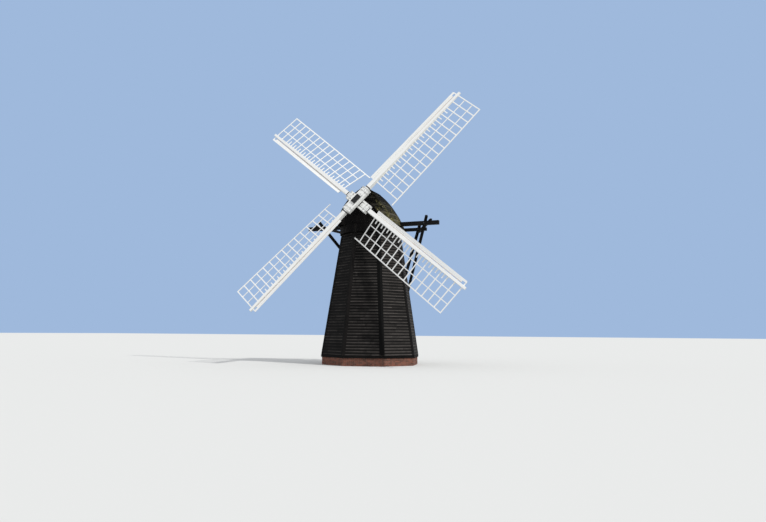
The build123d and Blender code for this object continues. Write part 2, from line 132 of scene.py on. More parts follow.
def laid_and_tone(tree):
    """What a mesh keeps for its finish: coordinates with X along the grain, and a tone from 0 to 1."""
    laid, tone = (add(tree, "ShaderNodeAttribute", attribute_name=name) for name in ("laid", "tone"))
    return laid.outputs["Vector"], tone.outputs["Fac"]


def wood_grain(tree, along, spacing, run):
    """Streaks along X: spacing is their width and run their length, in metres."""
    stretched = add(tree, "ShaderNodeMapping", along, Scale=(1 / run, 1 / spacing, 1 / spacing))
    return add(tree, NOISE, stretched, Scale=1.0, Detail=5.0, Roughness=0.62)


def where(tree, start, low, high, most, *weighted):
    """A mask that rises from 0 to most as start, with the weighted parts added to it, goes from low to
    high."""
    for part, weight in weighted:
        start = add(tree, TIMES_PLUS, part, weight, start)
    return add(tree, REMAP, start, low, high, 0.0, most)


def layered(tree, ground, *layers):
    """A ground's colour, with each layer's colour laid over it where that layer's mask is 1."""
    colour = linear(ground)
    for mask, shade in layers:
        colour = add(tree, MIX, mask, A=colour, B=linear(shade), data_type="RGBA")
    return colour


def finished(material, colour, roughness, relief, depth, specular=0.5):
    """Ends a material. relief is raised up to depth, in metres."""
    tree = material.node_tree
    bump = add(tree, "ShaderNodeBump", Strength=1.0, Distance=depth, Height=relief)
    surface = add(tree, "ShaderNodeBsdfPrincipled", colour, Roughness=roughness, Normal=bump,
                  Specular_IOR_Level=specular)
    add(tree, "ShaderNodeOutputMaterial", surface)
    return material


def tarred_wood(name, fresh, worn, wear, exposure=0.0, sun_bleach_and_painted_light=0.0, boarded=True):
    """Coal tar brushed on sawn softwood: nearly black and dull, grey-brown where sun and rain have thinned it.
    wear is how much of it has gone. exposure is the height of a lapped board: its foot is laid paler and its
    upper part, under the lip of the board above, stays dark, partly as sheltered tar and partly as painted
    shade. The next size says how much paler the boards that face the sun's side are painted, partly as sun
    bleaching and partly as painted sunlight."""
    material, tree, place = start_material(name)
    along, tone = laid_and_tone(tree)
    if not boarded:
        along = place
    grain = wood_grain(tree, along, 0.012, 0.5)
    patches = add(tree, NOISE, place, Scale=0.9, Detail=4.0, Roughness=0.6)
    # Painted sunlight as well as sun bleaching: the boards that face the sun's side, to the right, are laid
    # paler.
    facing = add(tree, "ShaderNodeTexCoord").outputs["Normal"]
    sun_side_bleach_and_painted_light = add(tree, "ShaderNodeVectorMath DOT_PRODUCT", facing, (0.95, -0.30, 0.0))
    sun_side_bleach_and_painted_light = add(tree, GREATER, sun_side_bleach_and_painted_light, 0.0)
    mask = where(tree, grain, 1.25 - 0.75 * wear, 1.85 - 0.75 * wear, 1.0,
                 (patches, 0.5), (tone, 0.45), (sun_side_bleach_and_painted_light, sun_bleach_and_painted_light))
    if exposure:
        # Painted shade as well as wear: each board is laid paler at its foot and stays dark in its upper part,
        # under the lip of the board above, where that lip's shadow falls.
        height = add(tree, SEPARATE, along).outputs["Z"]
        worn_foot_and_painted_lap_shade = add(tree, REMAP, height, 0.46 * exposure, 0.66 * exposure, 1.0, 0.0)
        uneven = add(tree, REMAP, wood_grain(tree, along, 0.05, 1.3), 0.30, 0.70, 0.30)
        dulled = add(tree, TIMES_PLUS, mask, 0.9, 0.22)
        worn_foot_and_painted_lap_shade = add(tree, TIMES, add(tree, TIMES, worn_foot_and_painted_lap_shade, uneven), dulled)
        mask = add(tree, TIMES_PLUS, mask, 0.04, add(tree, TIMES, worn_foot_and_painted_lap_shade, 2.0), use_clamp=True)
    rough = add(tree, REMAP, mask, To_Min=0.66, To_Max=0.90)
    return finished(material, layered(tree, fresh, (mask, worn)), rough, grain, 0.004, 0.07)


def white_painted_timber(name, paint, grime, algae, bare):
    """White lead-coloured paint on pitch pine, some winters old: chalky, grey in the grain, a little
    green where water stands, and worn to the wood in short streaks."""
    material, tree, place = start_material(name)
    along, tone = laid_and_tone(tree)
    grain, streaks = wood_grain(tree, along, 0.010, 0.6), wood_grain(tree, along, 0.045, 0.9)
    patches = add(tree, NOISE, place, Scale=1.7, Detail=5.0, Roughness=0.65)
    dirt = where(tree, streaks, 0.52, 0.92, 0.60, (tone, 0.16))
    green = add(tree, REMAP, patches, 0.60, 0.78, 0.0, 0.22)
    flaked = add(tree, REMAP, add(tree, TIMES, grain, streaks), 0.41, 0.45, 0.0, 0.6)
    colour = layered(tree, paint, (dirt, grime), (green, algae), (flaked, bare))
    rough = add(tree, REMAP, dirt, To_Min=0.46, To_Max=0.80)
    return finished(material, colour, rough, add(tree, MINUS, grain, flaked), 0.0015)


def mossy_roof_boards(name, tar, grey, moss, lichen):
    """Tarred boards that have weathered under moss: black along the ridge, grey wood showing lower
    down, with cushions of olive moss and yellow lichen that collect above each lap."""
    material, tree, place = start_material(name)
    along, tone = laid_and_tone(tree)
    grain = wood_grain(tree, along, 0.014, 0.5)
    patches = add(tree, NOISE, place, Scale=2.3, Detail=6.0, Roughness=0.70)
    cushions = add(tree, NOISE, place, Scale=8.0, Detail=4.0, Roughness=0.70)
    height = add(tree, SEPARATE, place).outputs["Z"]
    low = add(tree, REMAP, height, EAVES + 0.75 * ROOF_HEIGHT, EAVES + 0.1)
    weathered = where(tree, grain, 0.76, 1.22, 0.9, (tone, 0.3), (low, 0.45))
    mossy = where(tree, patches, 1.06, 1.22, 0.95, (cushions, 0.85), (low, 0.26))
    # The lichen's rosettes are drawn up to 80 mm across, larger than most of them grow, to show from afar
    ragged = add(tree, NOISE, place, Scale=19.0, Detail=4.0, Roughness=0.7).outputs["Color"]
    ragged = add(tree, "ShaderNodeVectorMath MULTIPLY_ADD", ragged, (0.16, 0.16, 0.16), place)
    rosettes = add(tree, "ShaderNodeTexVoronoi", ragged, Scale=8.5)
    spots = add(tree, TIMES, where(tree, rosettes, 0.10, -0.08, 0.8, (patches, -0.5)), mossy)
    colour = layered(tree, tar, (weathered, grey), (mossy, moss), (spots, lichen))
    return finished(material, colour, 0.92, add(tree, TIMES_PLUS, mossy, 0.8, grain), 0.008, 0.10)


def sawn_oak(name, heart, weathered):
    """Bare sawn oak out of the weather: brown heartwood gone grey on the surface, with coarse saw marks."""
    material, tree, place = start_material(name)
    swung = add(tree, "ShaderNodeMapping", place, Scale=(22.0, 4.0, 14.0))
    grain = add(tree, NOISE, swung, Scale=1.0, Detail=6.0, Roughness=0.6)
    patches = add(tree, NOISE, place, Scale=2.0, Detail=3.0)
    mask = where(tree, grain, 0.55, 0.95, 1.0, (patches, 0.6))
    return finished(material, layered(tree, heart, (mask, weathered)), 0.78, grain, 0.003)


def weathered_iron(name, skin, rust, rusted):
    """Wrought or cast iron under old black paint: dull and slightly pitted, with rust at the breaks.
    rusted is the share of the surface that has rusted."""
    material, tree, place = start_material(name)
    pits = add(tree, NOISE, place, Scale=60.0, Detail=4.0, Roughness=0.6)
    breaks = add(tree, NOISE, place, Scale=7.0, Detail=6.0, Roughness=0.7)
    mask = add(tree, REMAP, breaks, 0.75 - 0.5 * rusted, 0.85 - 0.5 * rusted, 0.0, 0.9)
    rough = add(tree, REMAP, mask, To_Min=0.42, To_Max=0.88)
    return finished(material, layered(tree, skin, (mask, rust)), rough, pits, 0.0012)


def stock_brick(name, red, dark):
    """Hand-made red stock bricks, sanded and a little burnt: each brick has its own tone."""
    material, tree, place = start_material(name)
    tone = add(tree, "ShaderNodeAttribute", attribute_name="tone").outputs["Fac"]
    sand = add(tree, NOISE, place, Scale=90.0, Detail=4.0, Roughness=0.7)
    burnt = add(tree, NOISE, place, Scale=8.0, Detail=3.0)
    mask = where(tree, tone, 0.25, 1.25, 1.0, (burnt, 0.5))
    return finished(material, layered(tree, red, (mask, dark)), 0.9, sand, 0.002)


def lime_mortar(name, pale, damp):
    """Lime and sand mortar: pale, gritty and soft, greyer where it stays damp."""
    material, tree, place = start_material(name)
    grit = add(tree, NOISE, place, Scale=120.0, Detail=3.0, Roughness=0.7)
    wet = add(tree, NOISE, place, Scale=2.5, Detail=4.0)
    return finished(material, layered(tree, pale, (wet, damp)), 0.95, grit, 0.002)


def floor_pavers(name, clay, worn, joint):
    """Floor bricks laid flat in a half bond, worn smooth and pale along their middles."""
    material, tree, place = start_material(name)
    pavers = add(tree, "ShaderNodeTexBrick", place, linear(clay), linear(worn), linear(joint), 1.0,
                 Mortar_Size=0.005, Brick_Width=0.225, Row_Height=0.113)
    grit = add(tree, NOISE, place, Scale=70.0, Detail=4.0)
    return finished(material, pavers, 0.85, grit, 0.002)


# The weatherboards are painted dark under each lip, painted shade as well as sheltered tar, and paler on the
# sun's side, painted sunlight as well as sun bleaching.
TAR_BOARDS = tarred_wood("tarred_weatherboards", "#0b0b0b", "#7c7672", 0.50, exposure=0.17, sun_bleach_and_painted_light=0.42)
# The corner boards are painted a little paler on the sun's side, painted sunlight as well as sun bleaching.
TAR_CORNERS = tarred_wood("tarred_corner_boards", "#0b0b0b", "#2b2827", 0.30, sun_bleach_and_painted_light=0.14)
TAR_CAP = tarred_wood("tarred_cap_boards", "#0e0d0d", "#302d2a", 0.30)
TAR_TIMBER = tarred_wood("tarred_heavy_timber", "#141517", "#3b3936", 0.36)
TAR_DOOR = tarred_wood("tarred_door_boards", "#1b1815", "#50483f", 0.50)
TAR_BACKING = tarred_wood("tarred_wall_backing", "#0e0d0c", "#211e1c", 0.3, boarded=False)
WHITE_PAINT = white_painted_timber("white_painted_pitch_pine", "#f8f9f7", "#d3d1c8", "#b6ba9f", "#ac9c88")
BARE_PINE = sawn_oak("weathered_pine", "#e2cdc0", "#cfc3b8")
ROOF_BOARDS = mossy_roof_boards("mossy_tarred_roof_boards", "#0a0a09", "#605d52", "#504e31", "#a8a074")
OAK = sawn_oak("sawn_oak", "#6d5640", "#857c6e")
BLACK_IRON = weathered_iron("black_painted_cast_iron", "#111214", "#4a3021", 0.15)
STRAP_IRON = weathered_iron("wrought_strap_iron", "#26272a", "#5a3d2b", 0.30)
PAINTED_IRON = weathered_iron("painted_strap_iron", "#c9cac7", "#7d6a5a", 0.26)
RUSTY_IRON = weathered_iron("rusty_winch_iron", "#2a2725", "#6a4128", 0.55)
BRICK = stock_brick("red_stock_brick", "#84503f", "#54352b")
MORTAR = lime_mortar("lime_mortar", "#8f8878", "#6c675d")
PAVERS = floor_pavers("worn_floor_brick", "#7c5141", "#8f6650", "#6d665c")


# Making pieces
def stand(name, data):
    made = bpy.data.objects.new(name, data)
    bpy.context.collection.objects.link(made)
    return made


def new_piece(name, mesh, material, body, slot, *nodes):
    """Puts a mesh, or a list of them, in as one piece in place of the CAD nodes."""
    if isinstance(mesh, list):
        mesh = joined(name, mesh)
    piece = stand(name, mesh)
    if material:
        mesh.materials.clear()
        mesh.materials.append(material)
    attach(piece, body)
    if nodes:
        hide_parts(*nodes)


def joined(name, meshes):
    """One mesh of several, with their attributes and materials kept."""
    parts = [stand(name, mesh) for mesh in meshes]
    with bpy.context.temp_override(active_object=parts[0], selected_editable_objects=parts):
        bpy.ops.object.join()
    mesh = parts[0].data
    bpy.data.objects.remove(parts[0])
    mesh.name = name
    return mesh


def read(mesh, name):
    """A vector for each vertex: its position, or one that was stored."""
    values = np.empty(len(mesh.vertices) * 3, np.float32)
    mesh.attributes[name].data.foreach_get("vector", values)
    return values.reshape(-1, 3)


def store(mesh, name, values):
    """Keeps a number or a vector for each vertex, or one number for all of them."""
    values = np.asarray(values, np.float32)
    if values.ndim == 0:
        values = np.full(len(mesh.vertices), values)
    kind, field = ("FLOAT", "value") if values.ndim == 1 else ("FLOAT_VECTOR", "vector")
    if name in mesh.attributes:
        mesh.attributes.remove(mesh.attributes[name])
    mesh.attributes.new(name, kind, "POINT").data.foreach_set(field, values.ravel())


def islands(mesh):
    """Vertex index arrays of the mesh's separate solids."""
    parent = list(range(len(mesh.vertices)))

    def root(i):
        while parent[i] != i:
            parent[i] = parent[parent[i]]
            i = parent[i]
        return i

    for edge in mesh.edges:
        a, b = (root(v) for v in edge.vertices)
        parent[a] = b
    groups = {}
    for i in range(len(parent)):
        groups.setdefault(root(i), []).append(i)
    return [np.array(group) for group in groups.values()]


def store_grain(mesh, upright=False):
    """Lays the grain upright or along each solid's longest direction, and gives each its tone."""
    co = read(mesh, "position")
    laid, tone = np.zeros_like(co), np.zeros(len(co))
    dice = random.Random(len(co))
    for group in islands(mesh):
        part = co[group] - co[group].mean(0)
        rows = UPRIGHT if upright else np.linalg.svd(part, full_matrices=False)[2]
        laid[group] = part @ rows.T + dice.uniform(0, GRAIN_STARTS)
        tone[group] = dice.random()
    store(mesh, "laid", laid)
    store(mesh, "tone", tone)


def spread_grain(mesh, seed, order, stretch):
    """Gives each realised board its own stretch of grain. order puts its unit coordinates with the one
    along it first, and stretch gives their real lengths for a board's extent."""
    co, laid = read(mesh, "position"), read(mesh, "laid")
    dice = random.Random(seed)
    for group in islands(mesh):
        lengths = stretch(np.ptp(co[group], axis=0))
        laid[group] = laid[group][:, order] * lengths + (dice.uniform(0, BOARD_STARTS), 0, 0)
    store(mesh, "laid", laid)


def to_mesh(shape, name):
    mesh = bpy.data.meshes.new(name)
    shape.to_mesh(mesh)
    shape.free()
    return mesh


def outward(mesh):
    """Makes every face of a closed mesh point outwards."""
    shape = bmesh.new()
    shape.from_mesh(mesh)
    bmesh.ops.recalc_face_normals(shape, faces=shape.faces)
    shape.to_mesh(mesh)
    shape.free()


def welded_copy(node):
    """A CAD node's mesh as a bmesh with its loose triangles joined into flat faces."""
    shape = bmesh.new()
    shape.from_mesh(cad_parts[node].data)
    bmesh.ops.remove_doubles(shape, verts=shape.verts, dist=0.0004)
    bmesh.ops.dissolve_limit(shape, angle_limit=math.radians(0.5), verts=shape.verts, edges=shape.edges)
    return shape


def node_tree(name, sizes):
    """An empty Geometry Nodes tree with named sizes, and its input node's outputs."""
    tree = bpy.data.node_groups.new(name, "GeometryNodeTree")
    for size, value in sizes.items():
        kind = {int: "NodeSocketInt", float: "NodeSocketFloat"}.get(type(value), "NodeSocketObject")
        socket = tree.interface.new_socket(size, in_out="INPUT", socket_type=kind)
        if value is not None:
            socket.default_value = value
    tree.interface.new_socket("Geometry", in_out="OUTPUT", socket_type="NodeSocketGeometry")
    return tree, tree.nodes.new("NodeGroupInput").outputs


def ended(tree, geometry, material):
    real = add(tree, REALIZE, geometry)
    add(tree, "NodeGroupOutput", add(tree, "GeometryNodeSetMaterial", real, Material=material))
    return tree


def grown(tree, **sizes):
    """The plain mesh that a tree makes with these sizes; others keep the tree's own values."""
    host = stand(tree.name, bpy.data.meshes.new(tree.name))
    modifier = host.modifiers.new(tree.name, "NODES")
    modifier.node_group = tree
    for item in tree.interface.items_tree:
        if item.name in sizes:
            modifier[item.identifier] = sizes[item.name]
    mesh = bpy.data.meshes.new_from_object(host.evaluated_get(bpy.context.evaluated_depsgraph_get()))
    bpy.data.objects.remove(host)
    return mesh


def toned(tree, copies, seed):
    """Gives each copy its own tone."""
    tone = add(tree, RANDOM, Min=0.0, Max=1.0, Seed=seed)
    return add(tree, STORE, copies, Name="tone", Value=tone, domain="INSTANCE")


def round_tower(tree, size, per_course):
    """A point for each board or brick in courses round the tower: the points, and for each its index, its
    side, its course and its place in the course."""
    per_side = add(tree, TIMES, size["Courses"], per_course)
    points = add(tree, LINE, add(tree, TIMES, per_side, size["Sides"]))
    index = add(tree, INDEX)
    side = add(tree, WHOLE, add(tree, OVER, index, per_side))
    rest = add(tree, REMAINDER, index, per_side)
    course = add(tree, WHOLE, add(tree, OVER, rest, per_course))
    return points, index, side, course, add(tree, REMAINDER, rest, per_course)


def turned_to_side(tree, size, points, side, spot):
    """Sets the points to spots given for a side that faces -Y, turned to their sides, and says the turn."""
    turn = add(tree, TIMES_PLUS, side, 2 * HALF_ANGLE, size["Side Turn"])
    spot = add(tree, "ShaderNodeVectorRotate", spot, Angle=turn, rotation_type="Z_AXIS")
    return add(tree, SET, points, Position=spot), turn


def side_matrix(index):
    """Turns a side's own frame, with its outside towards -Y, to its place on the octagon."""
    return Matrix.Rotation(SIDE_TURN + 2 * HALF_ANGLE * index, 4, "Z")


def at(x, y, z):
    return Matrix.Translation((x, y, z))


def apothem(height):
    return (GROUND_RADIUS - TAPER * height) * math.cos(HALF_ANGLE)


# Tower: feather-edged weatherboards, nailed from the sill up, each course lapping the one below
def weatherboard_tree():
    foot, corner_gap, fitting = 0.618, 0.02, 0.006
    tree, size = node_tree("weatherboards", {
        "Courses": 43, "Exposure": 0.170, "Lap": 0.030, "Lip Thickness": 0.024, "Top Thickness": 0.007,
        "Foot Height": foot, "Foot Apothem": apothem(foot),
        "Foot Half Length": apothem(foot) * math.tan(HALF_ANGLE) - corner_gap,
        "Taper": TAPER * math.sin(HALF_ANGLE) * math.cos(BATTER), "Batter": BATTER, "Seam": 0.004,
        "Door Side": DOOR_SIDE, "Opening Width": OPENING_WIDTH + fitting, "Opening Top": OPENING_TOP,
        "Side Turn": SIDE_TURN, "Sides": SIDES, "Seed": 3})
    points, index, side, course, hand = round_tower(tree, size, 2.0)
    hand = add(tree, TIMES_PLUS, hand, 2.0, -1.0)
    up = add(tree, TIMES, course, size["Exposure"])
    half = add(tree, MINUS, size["Foot Half Length"], add(tree, TIMES, up, size["Taper"]))
    height = add(tree, TIMES_PLUS, up, add(tree, COSINE, size["Batter"]), size["Foot Height"])

    # Where the two boards of a course meet: anywhere in the middle part, or at the door case
    pair = add(tree, WHOLE, add(tree, OVER, index, 2.0))
    meeting = add(tree, TIMES, add(tree, RANDOM, Min=-0.6, Max=0.6, ID=pair, Seed=size["Seed"]), half)
    door_side = add(tree, EQUAL, side, size["Door Side"], 0.1)
    at_door = add(tree, TIMES, door_side, add(tree, BELOW, height, size["Opening Top"]))
    meeting = add(tree, MIX, at_door, A=meeting, B=0.0)
    gap = add(tree, TIMES, add(tree, MIX, at_door, A=size["Seam"], B=size["Opening Width"]), 0.5)
    outer = add(tree, TIMES, hand, half)
    inner = add(tree, TIMES_PLUS, hand, gap, meeting)
    length = add(tree, ABSOLUTE, add(tree, MINUS, outer, inner))
    middle = add(tree, TIMES, add(tree, PLUS, outer, inner), 0.5)
    back = add(tree, TIMES, up, add(tree, SINE, size["Batter"]))
    spot = add(tree, COMBINE, middle, add(tree, MINUS, back, size["Foot Apothem"]), height)
    points, turn = turned_to_side(tree, size, points, side, spot)

    # One board: a wedge, thick at its lower edge
    here = add(tree, SEPARATE, add(tree, POSITION)).outputs
    share = add(tree, PLUS, here["Z"], 0.5)
    thick = add(tree, MIX, share, A=size["Lip Thickness"], B=size["Top Thickness"])
    out = add(tree, TIMES, add(tree, MINUS, here["Y"], 0.5), thick)
    rise = add(tree, TIMES, share, add(tree, PLUS, size["Exposure"], size["Lap"]))
    shaped = add(tree, COMBINE, here["X"], out, rise)
    board = add(tree, SET, add(tree, CUBE, (1.0, 1.0, 1.0), 5), Position=shaped)
    board = add(tree, STORE, board, Name="laid", Value=shaped, data_type="FLOAT_VECTOR")
    jitter = add(tree, RANDOM, Min=-0.002, Max=0.002, ID=index, Seed=11)
    turned = add(tree, COMBINE, add(tree, TIMES, size["Batter"], -1.0), jitter, turn)
    stretched = add(tree, COMBINE, length, 1.0, 1.0)
    boards = add(tree, COPY, points, Instance=board, Rotation=turned, Scale=stretched)
    return ended(tree, toned(tree, boards, 5), TAR_BOARDS)


def make_weatherboards():
    mesh = grown(weatherboard_tree())
    spread_grain(mesh, 7, [0, 1, 2], lambda extent: (np.linalg.norm(extent), 1, 1))
    new_piece("tower_weatherboards", mesh, None, "tower", "tarred_boards")


# Sails: a common sail is laid out flat, then the whole frame is given its weather, the twist
def sail_frame_tree():
    tree, size = node_tree("common_sail", {
        "Bars": BAYS + 1, "Bay": FRAME_LENGTH / BAYS, "Heel": HEEL, "Frame Length": FRAME_LENGTH,
        "Lattice Width": LATTICE_WIDTH, "Bar Width": 0.064, "Bar Thickness": 0.026, "Bearer Reach": 0.335,
        "Bearer Depth": 0.017, "Uplongs": 2, "Uplong Width": 0.052, "Uplong Thickness": 0.022,
        "Hemlath Width": 0.066, "Hemlath Thickness": 0.034, "Hemlath Overrun": 0.430, "Short Bars": BAYS - 2,
        "Short Bar Reach": 0.360, "Heel Weather": HEEL_WEATHER, "Tip Weather": TIP_WEATHER})
    width, thickness, across = size["Bar Width"], size["Bar Thickness"], size["Lattice Width"]
    along_bays = size["Bay"], 0.0, 0.0
    half_bay = add(tree, TIMES_PLUS, size["Bay"], 0.5, size["Heel"])
    half_frame = add(tree, TIMES_PLUS, size["Frame Length"], 0.5, size["Heel"])
    full = add(tree, PLUS, size["Frame Length"], width)
    whole_bar = add(tree, PLUS, across, size["Bearer Reach"])
    bar_middle = add(tree, TIMES, add(tree, MINUS, across, size["Bearer Reach"]), 0.5)
    short_middle = add(tree, TIMES, size["Short Bar Reach"], 0.5)
    gap = add(tree, OVER, across, add(tree, PLUS, size["Uplongs"], 1.0))
    behind = add(tree, TIMES_PLUS, add(tree, PLUS, thickness, size["Uplong Thickness"]), 0.5, -0.006)
    hem_length = add(tree, PLUS, full, size["Hemlath Overrun"])
    hem_middle = add(tree, TIMES_PLUS, size["Hemlath Overrun"], -0.5, half_frame)
    hem_across = add(tree, TIMES_PLUS, size["Hemlath Width"], -0.5, across)

    # Rows of laths, each with its number, the first one's middle, the step to the next, its size and its
    # points along and across: the uplongs behind the bars, the short bars halfway between the others, from
    # the stock part of the way to the first uplong, the bars, and the hemlath on the outer edge
    rows = []
    for number, first, step, extent, along_points, across_points in (
            (size["Uplongs"], (half_frame, gap, behind), (0.0, gap, 0.0),
             (full, size["Uplong Width"], size["Uplong Thickness"]), 30, 2),
            (size["Short Bars"], (half_bay, short_middle, 0.0), along_bays,
             (width, size["Short Bar Reach"], thickness), 2, 2),
            (size["Bars"], (size["Heel"], bar_middle, 0.0), along_bays, (width, whole_bar, thickness), 2, 8),
            (1, (hem_middle, hem_across, 0.0), (0.0, 0.0, 0.0),
             (hem_length, size["Hemlath Width"], size["Hemlath Thickness"]), 32, 2)):
        first, step, extent = (add(tree, COMBINE, *sizes) for sizes in (first, step, extent))
        spots = add(tree, LINE, number, Start_Location=first, Offset=step)
        lath = add(tree, CUBE, extent, along_points, across_points)
        rows.append(add(tree, COPY, spots, Instance=lath))
    flat = add(tree, REALIZE, add(tree, JOIN, rows))

    # The bars go through the stock as bearers, a little farther back
    y = add(tree, SEPARATE, add(tree, POSITION)).outputs["Y"]
    leading = add(tree, "FunctionNodeCompare LESS_THAN", A=y, B=0.0)
    back = add(tree, COMBINE, 0.0, 0.0, size["Bearer Depth"])
    return twisted(tree, add(tree, SET, flat, leading, Offset=back), size, WHITE_PAINT)


def twisted(tree, flat, size, material):
    """Stores the flat layout as the grain's coordinates, turns each point by the weather at its distance
    along the stock, and ends the tree. Y is across to the trailing side and Z behind, until it is turned."""
    position = add(tree, POSITION)
    kept = add(tree, STORE, flat, Name="laid", Value=position, data_type="FLOAT_VECTOR")
    end = add(tree, PLUS, size["Heel"], size["Frame Length"])
    weather = add(tree, REMAP, add(tree, SEPARATE, position).outputs["X"], size["Heel"], end,
                  size["Heel Weather"], size["Tip Weather"], clamp=False)
    half_round = add(tree, PLUS, weather, math.pi)
    spot = add(tree, "ShaderNodeVectorRotate", position, Angle=half_round, rotation_type="X_AXIS")
    return ended(tree, add(tree, SET, kept, Position=spot), material)


def sail_matrix(index):
    """The frame of a sail on its stock: X out to the tip and Z to the front, along the shaft."""
    cosine, sine = math.cos(SHAFT_TILT), math.sin(SHAFT_TILT)
    shaft = Matrix.Translation(HUB) @ Matrix(((1, 0, 0), (0, sine, -cosine), (0, cosine, sine))).to_4x4()
    depth = 0 if index % 2 == 0 else -STOCK_GAP
    return shaft @ Matrix.Rotation(SAIL_TURN + math.pi / 2 * index, 4, "Z") @ at(0, 0, depth)


def on_each_sail(name, tree, seed, grimiest=1.0, replaced=None):
    """Makes a tree's mesh on all four sails, each of its laths with its own tone."""
    for index in range(4):
        mesh = grown(tree)
        dice = random.Random(seed + index)
        tone = np.zeros(len(mesh.vertices))
        for group in islands(mesh):
            tone[group] = dice.random() * grimiest
        store(mesh, "tone", tone)
        mesh.transform(sail_matrix(index))
        outward(mesh)
        nodes = [f"{replaced}_{index + 1}"] if replaced else []
        new_piece(f"{name}_{index + 1}", mesh, None, "sails", "white_timber", *nodes)


def plank_tree(name, planks, thickness, material):
    """Planks in front of the stock's leading side. planks gives each one's nearer and farther edge from
    the stock's centre line and its end, and all are given the sail's twist."""
    edges = "Near", "Far", "End"
    tree, size = node_tree(name, {
        "Heel": HEEL, "Frame Length": FRAME_LENGTH, "Start": LEADING_HEEL, "Thickness": thickness,
        "Seam": 0.005, "Depth": -0.004, "Heel Weather": HEEL_WEATHER, "Tip Weather": TIP_WEATHER,
        **{f"{plank} {edge}": value for plank, sizes in planks.items() for edge, value in zip(edges, sizes)}})
    boards = []
    for plank in planks:
        near, far, end = (size[f"{plank} {edge}"] for edge in edges)
        run = add(tree, MINUS, end, size["Start"])
        middle = add(tree, TIMES_PLUS, run, 0.5, size["Start"])
        width = add(tree, MINUS, add(tree, MINUS, far, near), size["Seam"])
        board = add(tree, CUBE, add(tree, COMBINE, run, width, size["Thickness"]), 32)
        across = add(tree, TIMES, add(tree, PLUS, far, near), -0.5)
        spot = add(tree, COMBINE, middle, across, size["Depth"])
        boards.append(add(tree, MOVE, board, Translation=spot))
    return twisted(tree, add(tree, JOIN, boards), size, material)


def make_sails():
    """The lattices, and along the stocks two planks, the narrow one shorter, and a bare fillet."""
    on_each_sail("sail_frame", sail_frame_tree(), 20, 0.2, "sail_lattice")
    inner, seam, inner_end = 0.150, 0.245, LEADING_END - 0.240
    boards = plank_tree("leading_boards", {
        "Inner": (inner, seam, inner_end), "Outer": (seam, LEADING_WIDTH, LEADING_END)}, 0.016, WHITE_PAINT)
    on_each_sail("sail_leading_boards", boards, 40, replaced="leading_board")
    fillet = plank_tree("seam_fillet", {"Fillet": (0.118, inner, inner_end)}, 0.010, BARE_PINE)
    on_each_sail("sail_seam_fillet", fillet, 40)


